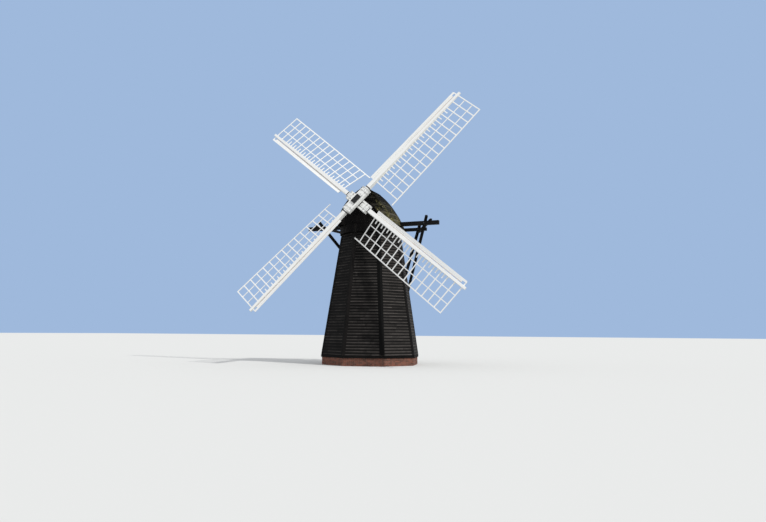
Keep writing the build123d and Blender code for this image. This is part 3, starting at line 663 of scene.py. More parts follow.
# Cap roof: strakes that run fore and aft over the boat-shaped shell, lapped like a clinker hull
def roof_strake_tree():
    centre, radius, first, last = roof_arc(0.0)
    tree, size = node_tree("roof_strakes", {
        "Roof": None, "Strakes": STRAKES, "Strake Width": radius * (last - first) / STRAKES, "Lap": 0.035,
        "Lip Thickness": STRAKE_LIP, "Top Thickness": STRAKE_TOP, "Arc Height": centre.y, "Arc Radius": radius,
        "First Angle": first, "Eaves": EAVES, "Front": -GABLE_FOOT, "Tail": TAIL_FOOT,
        "Front Slope": GABLE_SLOPE, "Tail Slope": -TAIL_SLOPE, "Overhang": 0.0, "Seed": 9})
    line = add(tree, LINE, add(tree, TIMES, size["Strakes"], 2.0))
    index = add(tree, INDEX)
    hand = add(tree, TIMES_PLUS, add(tree, REMAINDER, index, 2.0), 2.0, -1.0)
    strake = add(tree, WHOLE, add(tree, OVER, index, 2.0))
    points = add(tree, SET, line, Position=add(tree, COMBINE, hand, 0.0, strake))

    # A unit board: X is 0 on the shell and 1 at its face, Y runs 0 to 1 fore and aft, Z 0 to 1 up its width
    position = add(tree, POSITION)
    unit = add(tree, "ShaderNodeVectorMath MULTIPLY_ADD", position, (5.0, 1.0, 1.0 / 0.6), (0.5, 0.5, 0.5))
    board = add(tree, CUBE, (0.2, 1.0, 0.6), 2, 30, 3)
    board = add(tree, STORE, board, Name="laid", Value=unit, data_type="FLOAT_VECTOR")
    boards = toned(tree, add(tree, COPY, points, Instance=board), size["Seed"])
    boards = add(tree, STORE, boards, Name="seat", Value=position, data_type="FLOAT_VECTOR", domain="INSTANCE")
    kept = (add(tree, STORED, name, data_type="FLOAT_VECTOR") for name in ("laid", "seat"))
    unit, seat = (add(tree, SEPARATE, vector).outputs for vector in kept)

    # Each point's height on the roof and its distance aft, and from there level inwards to the shell
    wide = add(tree, PLUS, add(tree, OVER, size["Lap"], size["Strake Width"]), 1.0)
    level = add(tree, LESSER, add(tree, TIMES_PLUS, unit["Z"], wide, seat["Z"]), size["Strakes"])
    turn = add(tree, OVER, size["Strake Width"], size["Arc Radius"])
    turn = add(tree, TIMES_PLUS, level, turn, size["First Angle"])
    rise = add(tree, TIMES_PLUS, add(tree, SINE, turn), size["Arc Radius"], size["Arc Height"])
    rise = add(tree, GREATER, rise, 0.004)
    front = add(tree, TIMES_PLUS, rise, size["Front Slope"], size["Front"])
    tail = add(tree, TIMES_PLUS, rise, size["Tail Slope"], size["Tail"])
    along = add(tree, REMAP, unit["Y"], To_Min=front, To_Max=tail)
    safe = add(tree, REMAP, unit["Y"], To_Min=0.002, To_Max=-0.002)
    source = add(tree, COMBINE, add(tree, TIMES, seat["X"], 4.0), add(tree, PLUS, along, safe),
                 add(tree, PLUS, rise, size["Eaves"]))
    shell = add(tree, "GeometryNodeObjectInfo", size["Roof"]).outputs["Geometry"]
    inwards = add(tree, COMBINE, add(tree, TIMES, seat["X"], -1.0))
    hit = add(tree, "GeometryNodeRaycast", shell, Source_Position=source, Ray_Direction=inwards,
              Ray_Length=8.0).outputs
    thick = add(tree, MIX, unit["Z"], A=size["Lip Thickness"], B=size["Top Thickness"])
    thick = add(tree, MINUS, add(tree, TIMES, thick, unit["X"]), 0.002)
    proud = add(tree, "ShaderNodeVectorMath SCALE", hit["Hit Normal"], Scale=thick)
    spot = add(tree, "ShaderNodeVectorMath ADD", hit["Hit Position"], proud)
    ends = add(tree, TIMES, add(tree, REMAP, unit["Y"], To_Min=-1.0, To_Max=1.0), size["Overhang"])
    spot = add(tree, "ShaderNodeVectorMath ADD", spot, add(tree, COMBINE, 0.0, ends))
    return ended(tree, add(tree, SET, add(tree, REALIZE, boards), Position=spot), ROOF_BOARDS)


def fair_curve(y, front, middle, tail):
    """A size at y, on the parabola through its values at the gable, the tower's axis and the tail."""
    ahead, short, length = y + GABLE_FOOT, y - TAIL_FOOT, GABLE_FOOT + TAIL_FOOT
    return (front * y * short / (GABLE_FOOT * length) - middle * ahead * short / (GABLE_FOOT * TAIL_FOOT)
            + tail * ahead * y / (TAIL_FOOT * length))


def roof_arc(y):
    """The right-hand arc of the roof's section at y: its centre, radius and first and last angles."""
    half, bulge = fair_curve(y, *ROOF_HALF_WIDTHS), fair_curve(y, *ROOF_BULGES)
    chord = math.hypot(half, ROOF_HEIGHT)
    radius = (chord * chord / 4 + bulge * bulge) / (2 * bulge)
    inward = Vector((-ROOF_HEIGHT, -half)).normalized()
    centre = Vector((half, ROOF_HEIGHT)) / 2 + inward * (radius - bulge)
    return centre, radius, math.asin(-centre.y / radius), math.asin((ROOF_HEIGHT - centre.y) / radius)


def roof_point(y, share, proud=0.0):
    """X and Z of a point on the right of the roof, share of the way from eaves to ridge, proud of the skin."""
    centre, radius, first, last = roof_arc(y)
    angle = first + (last - first) * share
    if share == 1:
        return 0.0, ROOF_TOP + proud / math.sin(angle)
    return centre.x + (radius + proud) * math.cos(angle), EAVES + centre.y + (radius + proud) * math.sin(angle)


def smooth_roof_skin():
    """The roof's surface without the facets of the CAD solid, for the strakes to lie on."""
    rows, columns, margin = 46, 49, 0.05
    points = []
    for row in range(rows):
        y = -GABLE_FOOT - margin + (GABLE_FOOT + TAIL_FOOT + 2 * margin) * row / (rows - 1)
        for column in range(columns):
            share = column / (columns // 2)
            x, z = roof_point(y, min(share, 2 - share))
            points.append((x if share <= 1 else -x, y, z))
    corners = [row * columns + column for row in range(rows - 1) for column in range(columns - 1)]
    faces = [(corner, corner + columns, corner + columns + 1, corner + 1) for corner in corners]
    mesh = bpy.data.meshes.new("smooth_roof_skin")
    mesh.from_pydata(points, [], faces)
    mesh.shade_smooth()
    return stand("smooth_roof_skin", mesh)


def make_roof_strakes():
    skin = smooth_roof_skin()
    mesh = grown(roof_strake_tree(), Roof=skin)
    bpy.data.objects.remove(skin)
    spread_grain(mesh, 4, [1, 0, 2], lambda extent: (3.5, 0.03, 0.24))
    mesh.attributes.remove(mesh.attributes["seat"])
    outward(mesh)
    new_piece("cap_roof_strakes", mesh, None, "cap", "roof_boards")


# Boards cut from a CAD sheet
def cut_boards(name, node, cuts, most, seed):
    """cuts gives for each board the way it faces and the planes that cut it out: a point, a normal and
    whether the board is ahead of it. most is the most of each thing drawn for a board, in that order:
    its tone, how far it stands proud and how far its lower end drops."""
    dice = random.Random(seed)
    boards = []
    for way, planes in cuts:
        shape = welded_copy(node)
        for point, normal, ahead in planes:
            cut = bmesh.ops.bisect_plane(
                shape, geom=shape.verts[:] + shape.edges[:] + shape.faces[:], plane_co=point, plane_no=normal,
                dist=1e-6, clear_inner=ahead, clear_outer=not ahead)
            rim = [item for item in cut["geom_cut"] if isinstance(item, bmesh.types.BMEdge)]
            if rim:
                bmesh.ops.edgeloop_fill(shape, edges=rim)
        if not shape.faces:
            shape.free()
            continue
        mesh = to_mesh(shape, name)
        store_grain(mesh, upright=True)
        drawn = {what: limit * dice.random() for what, limit in most.items()}
        store(mesh, "tone", drawn["tone"])
        co = read(mesh, "position") + np.array(way) * drawn["proud"]
        co[:, 2] -= np.where(co[:, 2] < co[:, 2].min() + 0.01, drawn.get("drop", 0), 0)
        mesh.vertices.foreach_set("co", co.astype(np.float32).ravel())
        boards.append(mesh)
    new_piece(name, boards, TAR_CAP, "cap", "cap_boards", node)


def make_cap_boards():
    across, half_gap = Vector((1, 0, 0)), 0.002
    seams = [Vector((x, 0, 0)) for x in np.arange(-1.575, 1.6, 0.175)]
    for name, node, sign in (("front_gable_boards", "cap_front", -1), ("tail_gable_boards", "cap_tail", 1)):
        cuts = [((0, sign, 0), ((left + across * half_gap, across, True),
                                (right - across * half_gap, across, False)))
                for left, right in zip(seams, seams[1:])]
        cut_boards(name, node, cuts, {"proud": 0.004, "tone": 1}, len(seams))

    count, half_gap, cuts = 72, 0.0015, []
    for index in range(count):
        turns = [math.radians(-90) + 2 * math.pi * (index + share) / count for share in (0, 0.5, 1)]
        near, _, far = (Vector((-math.sin(turn), math.cos(turn), 0)) for turn in turns)
        way = Vector((math.cos(turns[1]), math.sin(turns[1]), 0))
        planes = (Vector(), way, True), (near * half_gap, near, True), (far * -half_gap, far, False)
        cuts.append((way, planes))
    cut_boards("petticoat_boards", "petticoat", cuts, {"tone": 1, "proud": 0.003, "drop": 0.012}, 12)


# Brick base
def brick_tree():
    face = apothem(WALL_FOOT) - BASE_SETBACK
    tree, size = node_tree("base_bricks", {
        "Courses": 3, "Bricks": 10, "Brick Height": 0.065, "Brick Depth": 0.03, "Joint": 0.010,
        "First Course": 0, "Course Rise": 0.075, "Face Apothem": face - 0.010,
        "Side Length": 2 * face * math.tan(HALF_ANGLE), "Side Turn": SIDE_TURN, "Sides": SIDES,
        "Door Side": DOOR_SIDE, "Opening Width": OPENING_WIDTH, "Seed": 6})
    points, index, side, course, place = round_tower(tree, size, size["Bricks"])
    pitch = add(tree, OVER, size["Side Length"], size["Bricks"])
    half = add(tree, TIMES, size["Side Length"], 0.5)
    x = add(tree, MINUS, add(tree, TIMES, add(tree, PLUS, place, 0.5), pitch), half)
    level = add(tree, TIMES_PLUS, course, 2.0, size["First Course"])
    half_rise = add(tree, TIMES, size["Course Rise"], 0.5)
    z = add(tree, PLUS, add(tree, TIMES, level, size["Course Rise"]), half_rise)
    sunk = add(tree, RANDOM, Min=-0.0015, Max=0.0015, ID=index, Seed=size["Seed"])
    y = add(tree, PLUS, add(tree, TIMES, size["Face Apothem"], -1.0), sunk)
    points, turn = turned_to_side(tree, size, points, side, add(tree, COMBINE, x, y, z))
    near = add(tree, BELOW, add(tree, ABSOLUTE, x), add(tree, TIMES, size["Opening Width"], 0.5))
    in_doorway = add(tree, TIMES, near, add(tree, EQUAL, side, size["Door Side"], 0.1))
    length = add(tree, MINUS, pitch, size["Joint"])
    brick = add(tree, COMBINE, length, size["Brick Depth"], size["Brick Height"])
    bricks = add(tree, COPY, points, add(tree, BELOW, in_doorway, 0.5), Instance=add(tree, CUBE, brick),
                 Rotation=add(tree, COMBINE, 0.0, 0.0, turn))
    return ended(tree, toned(tree, bricks, 8), BRICK)


def make_base_bricks():
    """Courses of stretchers with courses of headers between them."""
    tree = brick_tree()
    courses = [grown(tree, **{"Bricks": bricks, "First Course": first}) for first, bricks in ((0, 10), (1, 20))]
    new_piece("base_bricks", courses, None, "tower", "brick")


# Blocks, strips, straps and bolts
def block(size, place, dice, ease=0.004):
    """A small timber or bar with eased edges and the grain along its longest side, set by a matrix."""
    shape = bmesh.new()
    bmesh.ops.create_cube(shape, size=1.0, matrix=Matrix.Diagonal((*size, 1.0)))
    bmesh.ops.bevel(shape, geom=shape.edges[:], offset=ease, segments=1, profile=0.6, affect="EDGES")
    mesh = to_mesh(shape, "block")
    longest_first = np.argsort(size)[::-1]
    store(mesh, "laid", read(mesh, "position")[:, longest_first] + dice.uniform(0, GRAIN_STARTS))
    store(mesh, "tone", dice.random())
    mesh.transform(place)
    return mesh


def swept(sections, dice):
    """A closed strip through matching outlines, with the grain along it."""
    shape = bmesh.new()
    rings = [[shape.verts.new(point) for point in section] for section in sections]
    for near, far in zip(rings, rings[1:]):
        for i in range(len(near)):
            shape.faces.new((near[i - 1], near[i], far[i], far[i - 1]))
    shape.faces.new(rings[0])
    shape.faces.new(rings[-1])
    bmesh.ops.recalc_face_normals(shape, faces=shape.faces)
    mesh = to_mesh(shape, "strip")
    laid, run = [], dice.uniform(0, GRAIN_STARTS)
    for index, section in enumerate(sections):
        run += (Vector(section[0]) - Vector(sections[max(index - 1, 0)][0])).length
        laid += [(run, (Vector(point) - Vector(section[0])).length, 0.0) for point in section]
    store(mesh, "laid", laid)
    store(mesh, "tone", dice.random())
    return mesh


def mirrored(sections, dice):
    """A strip on each side of the mill, from the sections of the one on the right."""
    return [swept([[(hand * x, y, z) for x, y, z in section] for section in sections], dice)
            for hand in (-1, 1)]


def strap(half_y, half_z, width, thickness, place, dice):
    """A flat iron band round a timber that runs along X."""
    bands = []
    for side in (-1, 1):
        lying, standing = at(0, 0, side * (half_z + thickness / 2)), at(0, side * (half_y + thickness / 2), 0)
        bands.append(block((width, 2 * (half_y + thickness), thickness), place @ lying, dice, 0.002))
        bands.append(block((width, thickness, 2 * half_z), place @ standing, dice, 0.002))
    return bands


HEAD_RADIUS, HEAD_HEIGHT, WASHER_RADIUS, WASHER_THICKNESS = 0.019, 0.016, 0.034, 0.005


def bolt_tree():
    tree, size = node_tree("bolt_heads", {
        "Places": None, "Head Radius": HEAD_RADIUS, "Head Height": HEAD_HEIGHT, "Washer Radius": WASHER_RADIUS,
        "Washer Thickness": WASHER_THICKNESS})
    parts = []
    washer = size["Washer Thickness"]
    for corners, radius, depth, seat in (
            (6, size["Head Radius"], size["Head Height"], washer), (10, size["Washer Radius"], washer, 0.0)):
        disc = add(tree, "GeometryNodeMeshCylinder", corners, Radius=radius, Depth=depth)
        lift = add(tree, COMBINE, 0.0, 0.0, add(tree, TIMES_PLUS, depth, 0.5, seat))
        parts.append(add(tree, MOVE, disc, Translation=lift))
    facing = add(tree, STORED, "facing", data_type="FLOAT_VECTOR")
    turned = add(tree, "FunctionNodeAlignRotationToVector", Vector=facing)
    spots = add(tree, "GeometryNodeObjectInfo", size["Places"]).outputs["Geometry"]
    heads = add(tree, COPY, spots, Instance=add(tree, JOIN, parts), Rotation=turned)
    return ended(tree, heads, STRAP_IRON)


BOLTS = bolt_tree()


def bolt_heads(name, places, body, slot, scale=1.0, material=STRAP_IRON):
    """Hexagonal heads on washers. places is a list of points and the way that each head faces."""
    mesh = bpy.data.meshes.new("bolt_places")
    mesh.from_pydata([tuple(point) for point, facing in places], [], [])
    store(mesh, "facing", [tuple(facing) for point, facing in places])
    spots = stand("bolt_places", mesh)
    heads = grown(BOLTS, **{
        "Places": spots, "Head Radius": HEAD_RADIUS * scale, "Head Height": HEAD_HEIGHT * scale,
        "Washer Radius": WASHER_RADIUS * scale})
    bpy.data.objects.remove(spots)
    outward(heads)
    new_piece(name, heads, material, body, slot)


# Trim of the roof
def make_roof_trim():
    """Verge boards over the strakes' tail ends, and a saddle of two boards along the ridge."""
    dice = random.Random(31)
    verge_steps, verge_edges, lowest = 16, (0.038, -0.110), EAVES + 0.032
    verges = []
    for step in range(verge_steps + 1):
        rim = []
        for proud in verge_edges:
            y = TAIL_FOOT
            for _ in range(3):      # closes in on where the leaning tail meets the roof
                x, z = roof_point(y, step / verge_steps, proud)
                y = TAIL_FOOT - (z - EAVES) * TAIL_SLOPE
            rim.append(Vector((max(x, 0.0), y, max(z, lowest))))
        near, far = Vector((0, 0.001, 0)), Vector((0, 0.034, 0))
        verges.append([rim[0] + near, rim[1] + near, rim[1] + far, rim[0] + far])
    front, tail, overhang = ROOF_HEIGHT * GABLE_SLOPE - GABLE_FOOT, TAIL_FOOT - ROOF_HEIGHT * TAIL_SLOPE, 0.036
    corners = (1.0, 0.012), (0.945, 0.028), (0.945, 0.050), (1.0, 0.042)
    saddle = []
    for step in range(9):
        y = front - overhang + (tail - front + 2 * overhang) * step / 8
        saddle.append([(x, y, z) for x, z in (roof_point(y, *corner) for corner in corners)])
    boards = mirrored(verges, dice) + mirrored(saddle, dice)
    new_piece("roof_verge_boards", boards, TAR_CORNERS, "cap", "cap_boards")


def gable_y(z):
    return (z - EAVES) * GABLE_SLOPE - GABLE_FOOT


def rim_x(z):
    """Half the roof's width at a height on the front gable's plane."""
    low, high = 0.0, 1.0
    for _ in range(30):
        share = (low + high) / 2
        low, high = (share, high) if roof_point(gable_y(z), share)[1] < z else (low, share)
    return roof_point(gable_y(z), low)[0]


def bow_y(x, z):
    """The bow's skin, ahead of the gable's plane: it swells like the bow of a boat."""
    rim = rim_x(z)
    swell = BOW_SWELL * (1 - max(0.0, (z - BOW_SWELL_TOP) / (ROOF_TOP - BOW_SWELL_TOP)) ** 2)
    return gable_y(z) - 0.006 - swell * max(0.0, 1 - (min(x, rim) / max(rim, 0.05)) ** 2)


def make_bow_boards():
    """The upper front of the boat-shaped roof: lapped boards that turn in from the sides towards the
    shaft, over the upper half of the gable, closed underneath by a moulding."""
    dice = random.Random(43)
    centre, radius, first, last = roof_arc(0.0)
    (sill_x, sill_z), (heel_x, heel_z) = BOW_SILL, BOW_HEEL
    lap, steps, boards = 0.16, 8, []
    for strake in range(STRAKES):
        turns = (first + (last - first) * min(step, STRAKES) / STRAKES for step in (strake, strake + 1 + lap))
        bottom, top = (EAVES + centre.y + radius * math.sin(turn) for turn in turns)
        top = min(top, ROOF_TOP - 0.004)
        if top < heel_z:
            continue
        sections = []
        for step in range(steps + 1):
            corners = []
            for z, thickness in ((bottom, STRAKE_LIP), (top, STRAKE_TOP)):
                z = max(z, heel_z - 0.02)
                share = min(max((z - heel_z) / (sill_z - heel_z), 0.0), 1.0)
                outer = rim_x(z) + 0.022
                inner = min(0.0 if z >= sill_z else heel_x + (sill_x - heel_x) * share, outer - 0.01)
                x = inner + (outer - inner) * step / steps
                corners += [(x, bow_y(x, z), z), (x, bow_y(x, z) - thickness, z)]
            sections.append([corners[i] for i in (0, 1, 3, 2)])
        boards += mirrored(sections, dice)
    new_piece("roof_bow_boards", boards, ROOF_BOARDS, "cap", "roof_boards")

    sections = []
    for step in range(-1, steps + 1):
        x = 0.0 if step < 0 else sill_x + (heel_x - sill_x) * step / steps
        z = sill_z + (heel_z - sill_z) * max(step, 0) / steps
        front, back, foot, head = bow_y(x, z) - 0.036, gable_y(z) - 0.0045, z - 0.030, z + 0.045
        sections.append([(x, front, foot), (x, back, foot), (x, back, head), (x, front, head)])
    new_piece("roof_bow_moulding", mirrored(sections, dice), TAR_CORNERS, "cap", "cap_boards")


# Trim of the tower and its door
def make_skirting():
    """A mitred board over the sill all round, and a drip board on top of the door case."""
    dice = random.Random(33)
    inner = apothem(WALL_FOOT) + 0.0005
    outer = inner + 0.036
    foot, front_head, back_head = BASE_HEIGHT + 0.003, 0.606, 0.618
    opening = OPENING_WIDTH / 2 + 0.004
    left, right = (tuple(side * reach * math.tan(HALF_ANGLE) for reach in (inner, outer)) for side in (-1, 1))
    boards = []
    for index in range(SIDES):
        spans = [(left, right)]
        if index == DOOR_SIDE:
            spans = [(left, (-opening, -opening)), ((opening, opening), right)]
        for span in spans:
            sections = []
            for x_inner, x_outer in span:
                corners = ((x_inner, -inner, foot), (x_outer, -outer, foot), (x_outer, -outer, front_head),
                           (x_inner, -inner, back_head))
                sections.append([side_matrix(index) @ Vector(corner) for corner in corners])
            boards.append(swept(sections, dice))
    drip_place, drip_slope = at(0, -2.655, OPENING_TOP + 0.030), Matrix.Rotation(math.radians(7), 4, "X")
    drip = side_matrix(DOOR_SIDE) @ drip_place @ drip_slope
    boards.append(block((OPENING_WIDTH + 0.10, 0.300, 0.026), drip, dice))
    new_piece("tower_skirting_boards", boards, TAR_CORNERS, "tower", "tarred_boards")


def make_door():
    """A ledged door of five boards, with two strap hinges on their pintles and a drop latch."""
    dice = random.Random(35)
    here = side_matrix(DOOR_SIDE)
    face = apothem(WALL_FOOT) + CASE_PROUD - DOOR_DEPTH
    width, height, count = DOORWAY_WIDTH - 0.006, DOORWAY_HEIGHT - 0.003, 5
    ledges, hinges, hinge_rivets = (0.25, 0.92, 1.60), (0.28, 1.56), (-0.38, -0.20, -0.02, 0.13)
    latch_x = 0.345

    def iron(x, out, z, size, ease=0.002):
        return block(size, here @ at(x, -face - out, FLOOR + z), dice, ease)

    boards = []
    for index in range(count):
        x = (index + 0.5) * width / count - width / 2
        spot = at(x, -face + 0.015 - 0.002 * dice.random(), FLOOR + height / 2)
        boards.append(block((width / count - 0.003, 0.030, height), here @ spot, dice))
    for z in ledges:
        boards.append(block((width - 0.12, 0.018, 0.14), here @ at(0, -face + 0.036, FLOOR + z), dice))
    new_piece("door_boards", boards, TAR_DOOR, "tower", "door_boards", "door")
    irons, rivets = [], []
    for z in hinges:
        irons.append(iron(-0.135, 0.006, z, (0.600, 0.007, 0.052)))
        irons.append(iron(-0.437, 0.014, z, (0.030, 0.030, 0.085), 0.008))
        for x in hinge_rivets:
            rivets.append((here @ Vector((x, -face - 0.0092, FLOOR + z)), here.to_3x3() @ Vector((0, -1, 0))))
    irons.append(iron(latch_x, 0.005, 1.00, (0.060, 0.006, 0.190)))
    irons.append(iron(latch_x, 0.012, 1.06, (0.150, 0.009, 0.026)))
    irons.append(iron(latch_x, 0.036, 0.98, (0.018, 0.014, 0.130), 0.005))
    irons += [iron(latch_x, 0.022, z, (0.018, 0.034, 0.016), 0.004) for z in (0.925, 1.035)]
    new_piece("door_irons", irons, STRAP_IRON, "tower", "winch_iron")
    bolt_heads("door_rivets", rivets, "tower", "winch_iron", 0.45)


# Irons of the sails and the cap
def make_hub_irons():
    """Straps, packing and bolts that hold the clamps to the stocks, and the canister's raised rims."""
    dice = random.Random(37)
    clamp_straps, stock_strap = (0.640, 0.855), 0.975       # distances from the shaft along the stock
    wedges = (0.500, 0.170), (0.745, 0.150)                 # the same and each one's length
    side_bolts, front_bolts, strap_bolt_reach = (0.480, 0.740), (0.400, 0.740), 0.205
    straps, painted, packing, bolts, rims, canister_bolts = [], [], [], [], [], []
    half = STOCK_SIZE / 2
    cheek = half + CANISTER_CHEEK
    outside = cheek + CLAMP_THICKNESS
    for index in (0, 1):
        place = sail_matrix(index)

        def bolt(x, y, z, *way):
            return place @ Vector((x, y, z)), place.to_3x3() @ Vector(way)

        for side in (-1, 1):
            for x in clamp_straps:
                painted += strap(outside + 0.001, half + 0.001, 0.038, 0.010, place @ at(side * x, 0, 0), dice)
                for y in (-strap_bolt_reach, strap_bolt_reach):
                    bolts += [bolt(side * x, y, front * (half + 0.011), 0, 0, front) for front in (-1, 1)]
            here, tapered = place @ at(side * stock_strap, 0, 0), half * 0.985
            straps += strap(tapered, tapered, 0.060, 0.011, here, dice)
            for hand in (-1, 1):
                for x, length in wedges:
                    wedge = place @ at(side * x, hand * (half + CANISTER_CHEEK / 2), 0.004)
                    packing.append(block((length, CANISTER_CHEEK - 0.003, CLAMP_DEPTH - 0.030), wedge, dice))
                bolts += [bolt(side * x, hand * outside, 0, 0, hand, 0) for x in side_bolts]
            bolts += [bolt(side * x, 0, half, 0, 0, 1) for x in front_bolts]
    place = sail_matrix(0)
    front, rim = half + CANISTER_WALL, 0.036
    for side in (-1, 1):
        along = place @ at(0, side * (cheek - rim / 2), front + 0.004)
        across = place @ at(side * (CANISTER_LENGTH / 2 - rim / 2), 0, front + 0.004)
        rims.append(block((CANISTER_LENGTH, rim, 0.014), along, dice))
        rims.append(block((rim, 2 * cheek - 2 * rim, 0.014), across, dice))
        for hand in (-1, 1):
            spot = Vector((side * 0.205, hand * 0.095, front))
            canister_bolts.append((place @ spot, place.to_3x3() @ Vector((0, 0, 1))))
    rims.append(block((0.150, 0.150, 0.020), place @ at(0, 0, front + 0.006), dice, 0.008))
    new_piece("stock_straps", straps, STRAP_IRON, "sails", "black_iron")
    new_piece("clamp_straps", painted, PAINTED_IRON, "sails", "black_iron")
    new_piece("clamp_packing", packing, WHITE_PAINT, "sails", "white_timber")
    new_piece("canister_rims", rims, BLACK_IRON, "sails", "black_iron")
    bolt_heads("hub_bolts", bolts, "sails", "black_iron", material=PAINTED_IRON)
    bolt_heads("canister_bolts", canister_bolts, "sails", "black_iron", material=BLACK_IRON)


def pole_point(drop):
    return POLE_TOP + (POLE_FOOT - POLE_TOP) * (drop / (POLE_TOP.z - POLE_FOOT.z))


def make_cap_irons():
    """Coach bolts where the braces and ties meet the beams and the tailpole, and bands round the pole."""
    dice = random.Random(39)
    bolts, bands = [], []
    run, across, half = (POLE_FOOT - POLE_TOP).normalized(), Vector((1, 0, 0)), POLE_SIZE / 2 - 0.001
    axes = Matrix((run, across, run.cross(across))).transposed().to_4x4()
    band_drops = 2.2, 5.95, 7.28
    # Each beam's reach, how far it is behind the tower's axis, its depth, and the drop to its brace's foot
    beams = (LONG_REACH, 0.0, 0.240, 5.680), (SHORT_REACH, 2.100, 0.200, 4.540)
    for drop in band_drops:
        bands += strap(half, half, 0.055, 0.010, Matrix.Translation(pole_point(drop)) @ axes, dice)
    for side in (-1, 1):
        for reach, behind, depth, drop in beams:
            bolts.append((Vector((side * reach, behind - depth / 2, EAVES + depth / 2)), Vector((0, -1, 0))))
            head = Vector((side * reach, behind + depth / 2 + 0.015, EAVES + depth))
            way = (head - pole_point(drop)).normalized()
            sideways = Vector((0, 0, 1)).cross(way).normalized()
            for place, face in ((pole_point(drop) + way * 0.400, -1), (pole_point(drop) + way * 0.400, 1),
                                (head + way * 0.060, side)):
                bolts.append((place + sideways * face * BRACE_SIZE / 2, sideways * face))
        tie_end = Vector((side * 3.7725, -0.004, EAVES + 0.3412))
        bolts.append((tie_end, Vector((0, 0.12, 1))))
    new_piece("tailpole_bands", bands, STRAP_IRON, "cap", "winch_iron")
    bolt_heads("brace_bolts", bolts, "cap", "winch_iron", 1.25)


def make_winch_barrel():
    """Oak staves round the winch's drum, held by two iron hoops."""
    dice = random.Random(41)
    staves, hoops = [], []
    count = 12
    radius = DRUM_RADIUS * math.cos(math.pi / count)
    for index in range(count):
        turn = Matrix.Translation(DRUM_CENTRE) @ Matrix.Rotation(2 * math.pi * index / count, 4, "X")
        staves.append(block((0.236, 0.0475, 0.012), turn @ at(0, 0, radius + 0.006), dice, 0.003))
        for x in (-0.085, 0.085):
            hoops.append(block((0.022, 0.0530, 0.004), turn @ at(x, 0, radius + 0.0125), dice, 0.001))
    new_piece("winch_staves", staves, OAK, "cap", "oak_frame")
    new_piece("winch_hoops", hoops, RUSTY_IRON, "cap", "winch_iron")


def make_timbers():
    """The CAD timbers with their arrises taken off."""
    tarred = TAR_TIMBER, "cap", "tarred_timber"
    painted = WHITE_PAINT, "sails", "white_timber"
    for name, node, width, (material, body, slot) in (
            ("long_beam_timber", "long_beam", 0.012, tarred),
            ("short_beam_timber", "short_beam", 0.012, tarred),
            ("tailpole_timber", "tailpole", 0.014, tarred),
            ("long_brace_timbers", "long_braces", 0.010, tarred),
            ("short_brace_timbers", "short_braces", 0.010, tarred),
            ("beam_tie_timbers", "beam_ties", 0.012, tarred),
            ("winch_cheek_timbers", "winch_cheeks", 0.008, tarred),
            ("door_case_timber", "door_case", 0.006, (TAR_TIMBER, "tower", "tarred_timber")),
            ("corner_board_strips", "corner_boards", 0.004, (TAR_CORNERS, "tower", "tarred_boards")),
            ("front_stock_timber", "front_stock", 0.012, painted),
            ("back_stock_timber", "back_stock", 0.012, painted),
            ("stock_clamp_timbers", "stock_clamps", 0.010, painted)):
        shape = welded_copy(node)
        shape.normal_update()
        sharp = [edge for edge in shape.edges if edge.is_manifold and edge.calc_face_angle() > math.radians(25)]
        bmesh.ops.bevel(
            shape, geom=sharp, offset=width, segments=2, profile=0.6, affect="EDGES", clamp_overlap=True)
        mesh = to_mesh(shape, name)
        store_grain(mesh)
        new_piece(name, mesh, material, body, slot, node)


make_weatherboards()
make_sails()
make_roof_strakes()
make_cap_boards()
make_base_bricks()
make_timbers()
make_roof_trim()
make_bow_boards()
make_skirting()
make_door()
make_hub_irons()
make_cap_irons()
make_winch_barrel()

# Finishes for the CAD nodes that stay in view
KEPT = {
    TAR_BACKING: [f"wall_{i}" for i in range(1, SIDES + 1)] + ["cap_apron", "cap_roof"],
    TAR_TIMBER: ["sheers", "windshaft"],
    OAK: ["sill", "corner_posts", "curb", "weather_beam", "weather_posts", "tail_beam"],
    BLACK_IRON: ["canister"],
    RUSTY_IRON: ["winch_drum"],
    MORTAR: ["brick_base"],
    PAVERS: ["ground_floor"],
}
for material, nodes in KEPT.items():
    for node in nodes:
        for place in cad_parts[node].material_slots:
            place.material = material


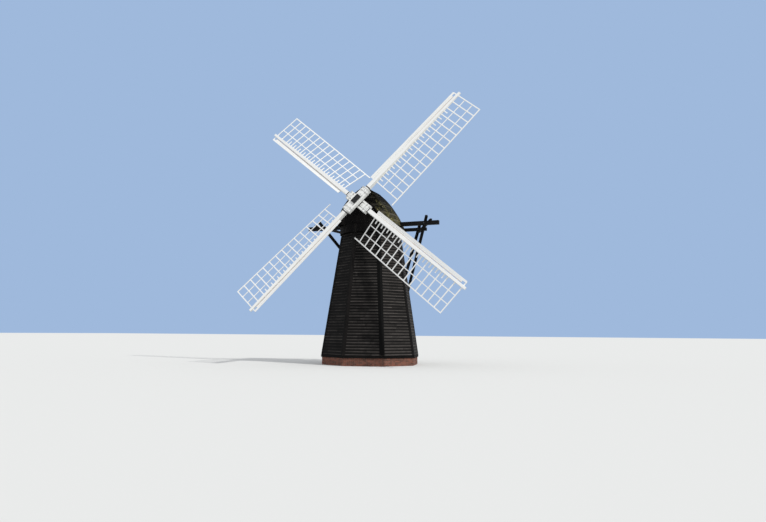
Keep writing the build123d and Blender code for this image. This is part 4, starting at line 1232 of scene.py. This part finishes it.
# Floor, light and camera
def make_studio():
    """A matt pale floor, which throws back less light than it shows the camera, so that the undersides
    stay dark, and which keeps the object's shadow. A sun from the right, and an even fill."""
    material, tree, _ = start_material("pale_floor")
    seen = add(tree, "ShaderNodeLightPath").outputs["Is Camera Ray"]
    matt = add(tree, "ShaderNodeBsdfDiffuse", layered(tree, "#bcbdba", (seen, "#dcdddb")))
    add(tree, "ShaderNodeOutputMaterial", matt)
    mesh = bpy.data.meshes.new("studio_floor")
    reach = 400.0
    corners = [(-reach, -reach, 0), (reach, -reach, 0), (reach, reach, 0), (-reach, reach, 0)]
    mesh.from_pydata(corners, [], [(0, 1, 2, 3)])
    mesh.materials.append(material)
    floor = stand("studio_floor", mesh)
    floor.location.z = -0.002

    world = bpy.data.worlds.new("studio_air")
    bpy.context.scene.world = world
    world.use_nodes = True
    tree = world.node_tree
    tree.nodes.clear()
    seen = add(tree, "ShaderNodeLightPath").outputs["Is Camera Ray"]
    fill = add(tree, "ShaderNodeBackground", linear("#f4f6fb"), 0.75)
    backdrop = add(tree, "ShaderNodeBackground", linear("#9fb9dc"), 1.0)
    add(tree, "ShaderNodeOutputWorld", add(tree, "ShaderNodeMixShader", seen, fill, backdrop))

    sun = bpy.data.lights.new("soft_sun", "SUN")
    sun.energy = 2.15
    sun.angle = math.radians(2)
    sun.color = (1.0, 0.98, 0.95)
    stand("soft_sun", sun).rotation_euler = Vector((0.70, -0.20, 0.68)).to_track_quat("Z", "Y").to_euler()


def make_camera():
    """The photo's camera, as fitted to the sails, beams and tower."""
    yaw, pitch, roll = (math.radians(v) for v in (21.787, 6.096, 0.416))
    focal_pixels, picture_width = 672.5, 766
    forward = Vector((-math.sin(yaw) * math.cos(pitch), math.cos(yaw) * math.cos(pitch), math.sin(pitch)))
    level = Vector((math.cos(yaw), math.sin(yaw), 0))
    up = level.cross(forward)
    right = level * math.cos(roll) + up * math.sin(roll)
    top = up * math.cos(roll) - level * math.sin(roll)
    camera = bpy.data.cameras.new("photo_camera")
    camera.sensor_width = 36.0
    camera.lens = focal_pixels / picture_width * camera.sensor_width
    camera.clip_end = 1000.0
    eye = stand("photo_camera", camera)
    eye.matrix_world = at(15.821, -37.675, 1.881) @ Matrix((right, top, -forward)).transposed().to_4x4()
    bpy.context.scene.camera = eye


make_studio()
make_camera()
bpy.context.scene.view_settings.view_transform = "Standard"
